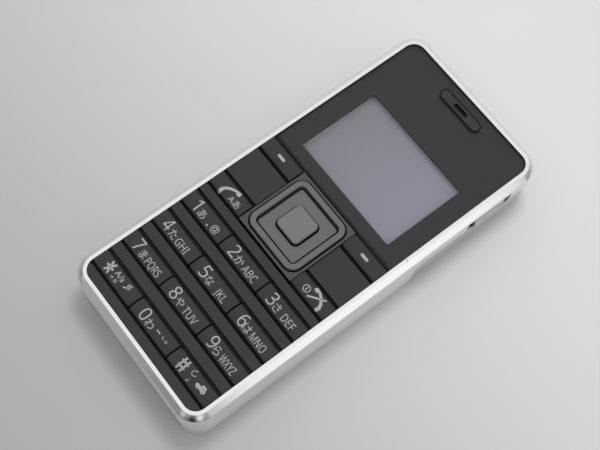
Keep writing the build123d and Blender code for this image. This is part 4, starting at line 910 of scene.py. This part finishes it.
# The other written signs: key, text, height, x and foot in millimetres, and how it is set. With no foot, a
# sign stands on the legends' baseline.
SIGNS = [
    ("key_1", ".", 0.45, 1.6, None, {}),
    ("key_1", "@", 1.95, 4.45, None, {"align": 1.0}),
    ("key_0", "ー", 0.28, 1.5, -0.25, {"width": 1.1 * MM}),
    ("key_0", "、", 0.6, 3.05, -0.5, {}),
    ("key_0", "。", 0.6, 4.1, -0.5, {}),
    ("key_star", "A/a", 1.35, -1.15, -0.2, {"align": 0.0}),
    ("key_star", "♫", 1.7, 3.0, -0.5, {}),
    ("key_star", "゛", 0.65, -0.85, -1.3, {}),
    ("key_star", "゜", 0.75, 0.35, -1.35, {}),
    ("key_hash", "↻", 1.6, -0.25, 0.0, {}),
    ("key_hash", "↲", 1.05, -0.2, -1.65, {}),
    ("call_key", "Aあ", 1.65, 2.1, -1.6, {}),
    ("end_key", "⏼", 1.75, -1.95, -1.2, {}),
]

# Bars of the drawn signs, in millimetres about their key's middle: start, end and width
SIGN_BARS = {
    "key_star": [
        ((-3.8, 0.0), (-1.7, 0.0), 0.46),
        ((-3.33, -1.36), (-2.17, 1.36), 0.46),
        ((-2.17, -1.36), (-3.33, 1.36), 0.46),
    ],
    "key_hash": [
        ((-3.63, -1.6), (-3.63, 1.5), 0.42),
        ((-2.58, -1.6), (-2.58, 1.5), 0.42),
        ((-4.1, -0.62), (-2.1, -0.62), 0.42),
        ((-4.1, 0.53), (-2.1, 0.53), 0.42),
        ((1.5, -0.25), (4.25, -0.25), 0.75),
        ((2.7, 0.35), (3.95, 0.35), 0.8),
        ((1.95, -0.62), (2.45, -0.62), 0.5),
        ((3.45, -0.62), (3.95, -0.62), 0.5),
    ],
    "soft_key_left": [((-1.1, -0.1), (1.1, -0.1), 0.68)],
    "soft_key_right": [((-1.1, -0.1), (1.1, -0.1), 0.68)],
    "end_key": [((-0.82, -1.28), (2.75, 1.24), 0.38)],
}

# Rounding of a bar's ends, as a share of its width
BAR_ROUND = 0.45

# Handset sign, in millimetres: round its grip, its mouth piece and back along the inside to its ear piece
HANDSET_OUTLINE = [
    (-2.05, 1.45), (-0.9, 1.17), (0.3, 0.62), (1.4, -0.3), (2.0, -1.35), (1.75, -2.35), (1.0, -2.3),
    (1.15, -1.35), (0.9, -0.72), (0.05, 0.03), (-1.1, 0.68), (-1.25, 0.25), (-2.3, 0.42),
]
HANDSET_ROUND = 0.14 * MM

# Keys with a handset: its middle in millimetres, and its mouth piece's side
HANDSETS = [
    ("call_key", (-0.4, 0.26), -1),
    ("end_key", (1.32, 0.4), 1),
]

# Width of the strips that a legend is cut into, to bend over a key's crown
STRIP_WIDTH = 0.15 * MM
CUT_TOLERANCE = 1e-8


def sans(text):
    """Digits and capitals in their plain sans-serif forms."""
    forms = []
    for sign in text:
        if sign.isdigit():
            forms.append(chr(SANS_DIGIT + int(sign)))
        elif sign.isupper():
            forms.append(chr(SANS_CAPITAL + ord(sign) - ord("A")))
        else:
            forms.append(sign)
    return "".join(forms)


def glyphs(text):
    """Flat bmesh of some text on its baseline, with its lowest and highest corner."""
    curve = bpy.data.curves.new("legend", "FONT")
    curve.body = text
    curve.resolution_u = 4
    writer = bpy.data.objects.new("legend", curve)
    bpy.context.scene.collection.objects.link(writer)
    bpy.context.view_layer.update()
    mesh = bpy.data.meshes.new_from_object(writer.evaluated_get(bpy.context.evaluated_depsgraph_get()))
    bm = bmesh.new()
    bm.from_mesh(mesh)
    bpy.data.meshes.remove(mesh)
    bpy.data.objects.remove(writer)
    bpy.data.curves.remove(curve)
    corners = [vert.co for vert in bm.verts]
    low = Vector([min(corner[axis] for corner in corners) for axis in range(3)])
    high = Vector([max(corner[axis] for corner in corners) for axis in range(3)])
    return bm, low, high


def pour(bm, target):
    """Add a bmesh's shape to another one."""
    mesh = bpy.data.meshes.new("legend")
    bm.to_mesh(mesh)
    bm.free()
    target.from_mesh(mesh)
    bpy.data.meshes.remove(mesh)


def add_sign(target, text, height, x, y, width=None, condense=1.0, align=0.5, model=None):
    """Write some text into a flat bmesh: its foot at y, and x at its left, middle or right.

    It is as tall as the height, or where a model sign is given, that sign would be, on its baseline.
    """
    bm, low, high = glyphs(text)
    foot, head = low.y, high.y
    if model:
        plain, plain_low, plain_high = glyphs(model)
        plain.free()
        foot, head = plain_low.y, plain_high.y
    tall = height / (head - foot)
    wide = width / (high.x - low.x) if width else tall * condense
    bmesh.ops.translate(bm, verts=bm.verts, vec=(-low.x - align * (high.x - low.x), -foot, 0))
    bmesh.ops.scale(bm, verts=bm.verts, vec=(wide, tall, 1.0))
    bmesh.ops.translate(bm, verts=bm.verts, vec=(x, y, 0))
    pour(bm, target)


def add_bar(target, start, end, width):
    """Flat straight bar with round ends between two points."""
    bm = bmesh.new()
    bmesh.ops.create_grid(bm, x_segments=1, y_segments=1, size=0.5)
    along = end - start
    bmesh.ops.scale(bm, verts=bm.verts, vec=(along.length, width, 1.0))
    bmesh.ops.bevel(
        bm, geom=bm.verts[:], offset=BAR_ROUND * width, offset_type="OFFSET", affect="VERTICES", segments=4,
        profile=0.5, material=-1,
    )
    turn = Matrix.Rotation(math.atan2(along.y, along.x), 4, "Z")
    bmesh.ops.transform(bm, matrix=Matrix.Translation((start + end) / 2) @ turn, verts=bm.verts)
    pour(bm, target)


def add_handset(target, middle, side):
    """Telephone handset seen from the side, its mouth piece towards one side of the key."""
    bm = bmesh.new()
    bm.faces.new([bm.verts.new((side * x * MM, y * MM, 0)) for x, y in HANDSET_OUTLINE])
    bmesh.ops.bevel(
        bm, geom=bm.verts[:], offset=HANDSET_ROUND, offset_type="OFFSET", affect="VERTICES", segments=3,
        profile=0.5, material=-1,
    )
    bmesh.ops.triangulate(bm, faces=bm.faces[:])
    bmesh.ops.translate(bm, verts=bm.verts, vec=middle)
    pour(bm, target)


def drape(bm, node, thickness):
    """Lay a flat legend, drawn about a key's middle, on its crown, and give it the ink's thickness."""
    low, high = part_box(node)
    middle = (low + high) / 2
    bmesh.ops.translate(bm, verts=bm.verts, vec=(middle.x, middle.y, 0))
    for index in range(int((high.y - low.y) / STRIP_WIDTH)):
        bmesh.ops.bisect_plane(
            bm, geom=bm.verts[:] + bm.edges[:] + bm.faces[:], dist=CUT_TOLERANCE,
            plane_co=(0, low.y + STRIP_WIDTH * index, 0), plane_no=(0, 1, 0),
        )
    mesh = frame["nodes"][node].data
    crown = BVHTree.FromPolygons(
        [vert.co for vert in mesh.vertices], [face.vertices for face in mesh.polygons]
    )
    for vert in bm.verts:
        hit = crown.ray_cast(Vector((vert.co.x, vert.co.y, high.z + MM)), Vector((0, 0, -1)))[0]
        vert.co.z = hit.z - thickness / 2
    bmesh.ops.recalc_face_normals(bm, faces=bm.faces)
    for face in bm.faces:
        if face.normal.z > 0:
            face.normal_flip()
    raised = bmesh.ops.extrude_face_region(bm, geom=bm.faces[:], use_keep_orig=True)["geom"]
    tops = [item for item in raised if isinstance(item, bmesh.types.BMVert)]
    bmesh.ops.translate(bm, verts=tops, vec=(0, 0, thickness))
    bmesh.ops.recalc_face_normals(bm, faces=bm.faces)


class PHONE_OT_legends(bpy.types.Operator):
    """Print the numbers, letters and signs on the keys"""

    bl_idname = "phone.legends"
    bl_label = "Key Legends"

    def execute(self, context):
        size = sizes()
        ink = printed_ink(colours()["ink"])
        flats = {node: bmesh.new() for node in NUMBER_KEYS + SIDE_KEYS}
        self.number_legends(flats, size)
        self.sign_legends(flats, size)
        for node, flat in flats.items():
            drape(flat, node, size.ink_thickness)
            finish_piece(flat, node + "_legend", ink, body_of(node))
        return {"FINISHED"}

    def number_legends(self, flats, size):
        """Digit, syllable and letters of the ten number keys."""
        foot = -size.legend_foot
        for node, (digit, kana, kana_x, letters, right) in LEGENDS.items():
            width = DIGIT_WIDTH * (NARROW_SHARE if digit == NARROW_DIGIT else 1.0)
            add_sign(flats[node], sans(digit), size.digit_height, DIGIT_X, foot, width)
            add_sign(flats[node], kana, size.kana_height, kana_x * MM, foot)
            if letters:
                add_sign(
                    flats[node], sans(letters), size.letter_height, right * MM, foot,
                    LETTERS_WIDEST if letters in WIDE_GROUPS else None,
                    condense=LETTER_CONDENSE, align=1.0, model=sans("H"),
                )

    def sign_legends(self, flats, size):
        """Punctuation, star, hash, a car, soft-key bars and handsets."""
        for node, text, height, x, foot, setting in SIGNS:
            y = -size.legend_foot if foot is None else foot * MM
            add_sign(flats[node], text, height * MM, x * MM, y, **setting)
        for node, bars in SIGN_BARS.items():
            for start, end, width in bars:
                add_bar(flats[node], Vector((*start, 0)) * MM, Vector((*end, 0)) * MM, width * MM)
        for node, middle, side in HANDSETS:
            add_handset(flats[node], Vector((*middle, 0)) * MM, side)


# Camera: its place and aim, its roll in degrees, and its lens and sensor in millimetres
CAMERA_PLACE = Vector((59.19, -61.61, 226.5)) * MM
CAMERA_AIM = Vector((-1.674, -1.665, 7.0)) * MM
CAMERA_ROLL = 7.16
CAMERA_LENS = 64.97
CAMERA_SENSOR = 36
CAMERA_NEAR = 1 * MM

# Floor: its half width, the stretch along the phone over which its painted shade gives way to its own tone,
# and the painted shade's share of that tone
FLOOR_HALF = 3000 * MM
FLOOR_SHADE_LOW = -110 * MM
FLOOR_SHADE_HIGH = 75 * MM
FLOOR_SHADE_TONE = 0.56

# Square soft boxes: name, place and size in millimetres, power in watts, and whether gloss mirrors them
LIGHTS = [
    ("key light", (-45, 95, 440), 110, 0.7, False),
    ("side light", (450, 125, 170), 240, 0.13, True),
]

# Room: its level, how that changes along each axis, and the spots that the polished chamfer mirrors, each
# with the way to it, its half angle in degrees and what it adds to the level
ROOM_COLOUR = "#FAFBFD"
ROOM_LEVEL = 0.23
ROOM_SLOPE = (-0.07, 0.13, 0.75)
ROOM_SPOTS = [
    ((0.625, -0.733, 0.268), 16, -0.24),
    ((0.865, -0.414, 0.283), 14, 0.55),
    ((0.09, -0.975, 0.2), 12, 0.35),
    ((-0.43, -0.89, 0.15), 15, 0.2),
]


def studio_floor(colour):
    """Pale paper, with painted shade that makes it a little darker past the phone's lower end."""
    material, tree, shader, place = start_material("pale studio paper", {"Roughness": 0.9})
    split = add_node(tree, "ShaderNodeSeparateXYZ", None, None, {"Vector": place})
    fade = add_node(
        tree, "ShaderNodeMapRange", {"interpolation_type": "SMOOTHSTEP"},
        {"From Min": FLOOR_SHADE_LOW, "From Max": FLOOR_SHADE_HIGH}, {"Value": split.outputs["Y"]},
    )
    tone = add_node(
        tree, "ShaderNodeMix", {"data_type": "RGBA"}, {MIX_A: shade(colour, FLOOR_SHADE_TONE), MIX_B: colour},
        {MIX_FACTOR: fade.outputs["Result"]},
    )
    wire(tree, shader, {"Base Color": tone.outputs[MIX_RESULT]})
    return material


class PHONE_OT_stage(bpy.types.Operator):
    """Set the floor, the soft lights and the camera"""

    bl_idname = "phone.stage"
    bl_label = "Studio"

    def execute(self, context):
        scene = context.scene
        self.lay_floor(scene)
        for light in LIGHTS:
            self.hang_light(scene, *light)
        self.fill_world(scene)
        self.place_camera(scene)
        scene.view_settings.view_transform = "Standard"
        return {"FINISHED"}

    def lay_floor(self, scene):
        """Broad flat floor that the phone lies on."""
        bm = bmesh.new()
        bmesh.ops.create_grid(bm, x_segments=8, y_segments=8, size=FLOOR_HALF)
        mesh = bpy.data.meshes.new("floor")
        bm.to_mesh(mesh)
        bm.free()
        mesh.materials.append(studio_floor(colours()["floor"]))
        floor = bpy.data.objects.new("floor", mesh)
        scene.collection.objects.link(floor)

    def hang_light(self, scene, name, place, size, power, mirrored):
        """Soft box aimed at the phone; one that is not mirrored still casts light and shadows."""
        lamp = bpy.data.lights.new(name, "AREA")
        lamp.size = size * MM
        lamp.energy = power
        light = bpy.data.objects.new(name, lamp)
        light.location = Vector(place) * MM
        light.visible_glossy = mirrored
        light.rotation_euler = (-light.location).to_track_quat("-Z", "Y").to_euler()
        scene.collection.objects.link(light)

    def fill_world(self, scene):
        """Pale room, brightest at its ceiling, with the spots that the chamfer mirrors."""
        world = bpy.data.worlds.new("pale room")
        world.use_nodes = True
        tree = world.node_tree
        background = tree.nodes["Background"]
        background.inputs["Color"].default_value = linear(ROOM_COLOUR)
        way = add_node(tree, "ShaderNodeTexCoord").outputs["Generated"]
        slope = add_node(
            tree, "ShaderNodeVectorMath", {"operation": "DOT_PRODUCT"}, {1: ROOM_SLOPE}, {0: way}
        )
        level = add_node(
            tree, "ShaderNodeMath", {"operation": "ADD"}, {1: ROOM_LEVEL}, {0: slope.outputs["Value"]}
        )
        for spot, half_angle, gain in ROOM_SPOTS:
            rim, core = [math.cos(math.radians(angle)) for angle in (half_angle, half_angle / 2)]
            near = add_node(
                tree, "ShaderNodeVectorMath", {"operation": "DOT_PRODUCT"}, {1: spot}, {0: way}
            )
            mask = add_node(
                tree, "ShaderNodeMapRange", {"interpolation_type": "SMOOTHSTEP"},
                {"From Min": rim, "From Max": core}, {"Value": near.outputs["Value"]},
            )
            level = add_node(
                tree, "ShaderNodeMath", {"operation": "MULTIPLY_ADD"}, {1: gain},
                {0: mask.outputs["Result"], 2: level.outputs[0]},
            )
        wire(tree, background, {"Strength": level.outputs[0]})
        scene.world = world

    def place_camera(self, scene):
        """Camera at the photograph's place."""
        camera = bpy.data.cameras.new("camera")
        camera.lens = CAMERA_LENS
        camera.sensor_width = CAMERA_SENSOR
        camera.clip_start = CAMERA_NEAR
        eye = bpy.data.objects.new("camera", camera)
        aim = (CAMERA_AIM - CAMERA_PLACE).to_track_quat("-Z", "Y").to_matrix().to_4x4()
        roll = Matrix.Rotation(math.radians(CAMERA_ROLL), 4, "Z")
        eye.matrix_world = Matrix.Translation(CAMERA_PLACE) @ aim @ roll
        scene.collection.objects.link(eye)
        scene.camera = eye


STEPS = [
    PHONE_OT_frame, PHONE_OT_front, PHONE_OT_display, PHONE_OT_keys, PHONE_OT_pad, PHONE_OT_back,
    PHONE_OT_inside, PHONE_OT_legends, PHONE_OT_stage,
]


class PHONE_PT_dresser(bpy.types.Panel):
    """Lists the steps that dress the phone, and its sizes and colours"""

    bl_idname = "PHONE_PT_dresser"
    bl_label = "Bar Phone"
    bl_space_type = "VIEW_3D"
    bl_region_type = "UI"
    bl_category = "Phone"

    def draw(self, context):
        scene = context.scene
        for step in STEPS:
            self.layout.operator(step.bl_idname)
        for group, holder in ((scene.phone_sizes, PhoneSizes), (scene.phone_colours, PhoneColours)):
            for name in holder.__annotations__:
                self.layout.prop(group, name)


CLASSES = [PhoneSizes, PhoneColours, *STEPS, PHONE_PT_dresser]


def register():
    for entry in CLASSES:
        bpy.utils.register_class(entry)
    bpy.types.Scene.phone_sizes = bpy.props.PointerProperty(type=PhoneSizes)
    bpy.types.Scene.phone_colours = bpy.props.PointerProperty(type=PhoneColours)


def unregister():
    del bpy.types.Scene.phone_colours
    del bpy.types.Scene.phone_sizes
    for entry in reversed(CLASSES):
        bpy.utils.unregister_class(entry)


def main():
    """Dress the phone."""
    register()
    bpy.ops.phone.frame()
    bpy.ops.phone.front()
    bpy.ops.phone.display()
    bpy.ops.phone.keys()
    bpy.ops.phone.pad()
    bpy.ops.phone.back()
    bpy.ops.phone.inside()
    bpy.ops.phone.legends()
    bpy.ops.phone.stage()


if __name__ == "__main__":
    main()
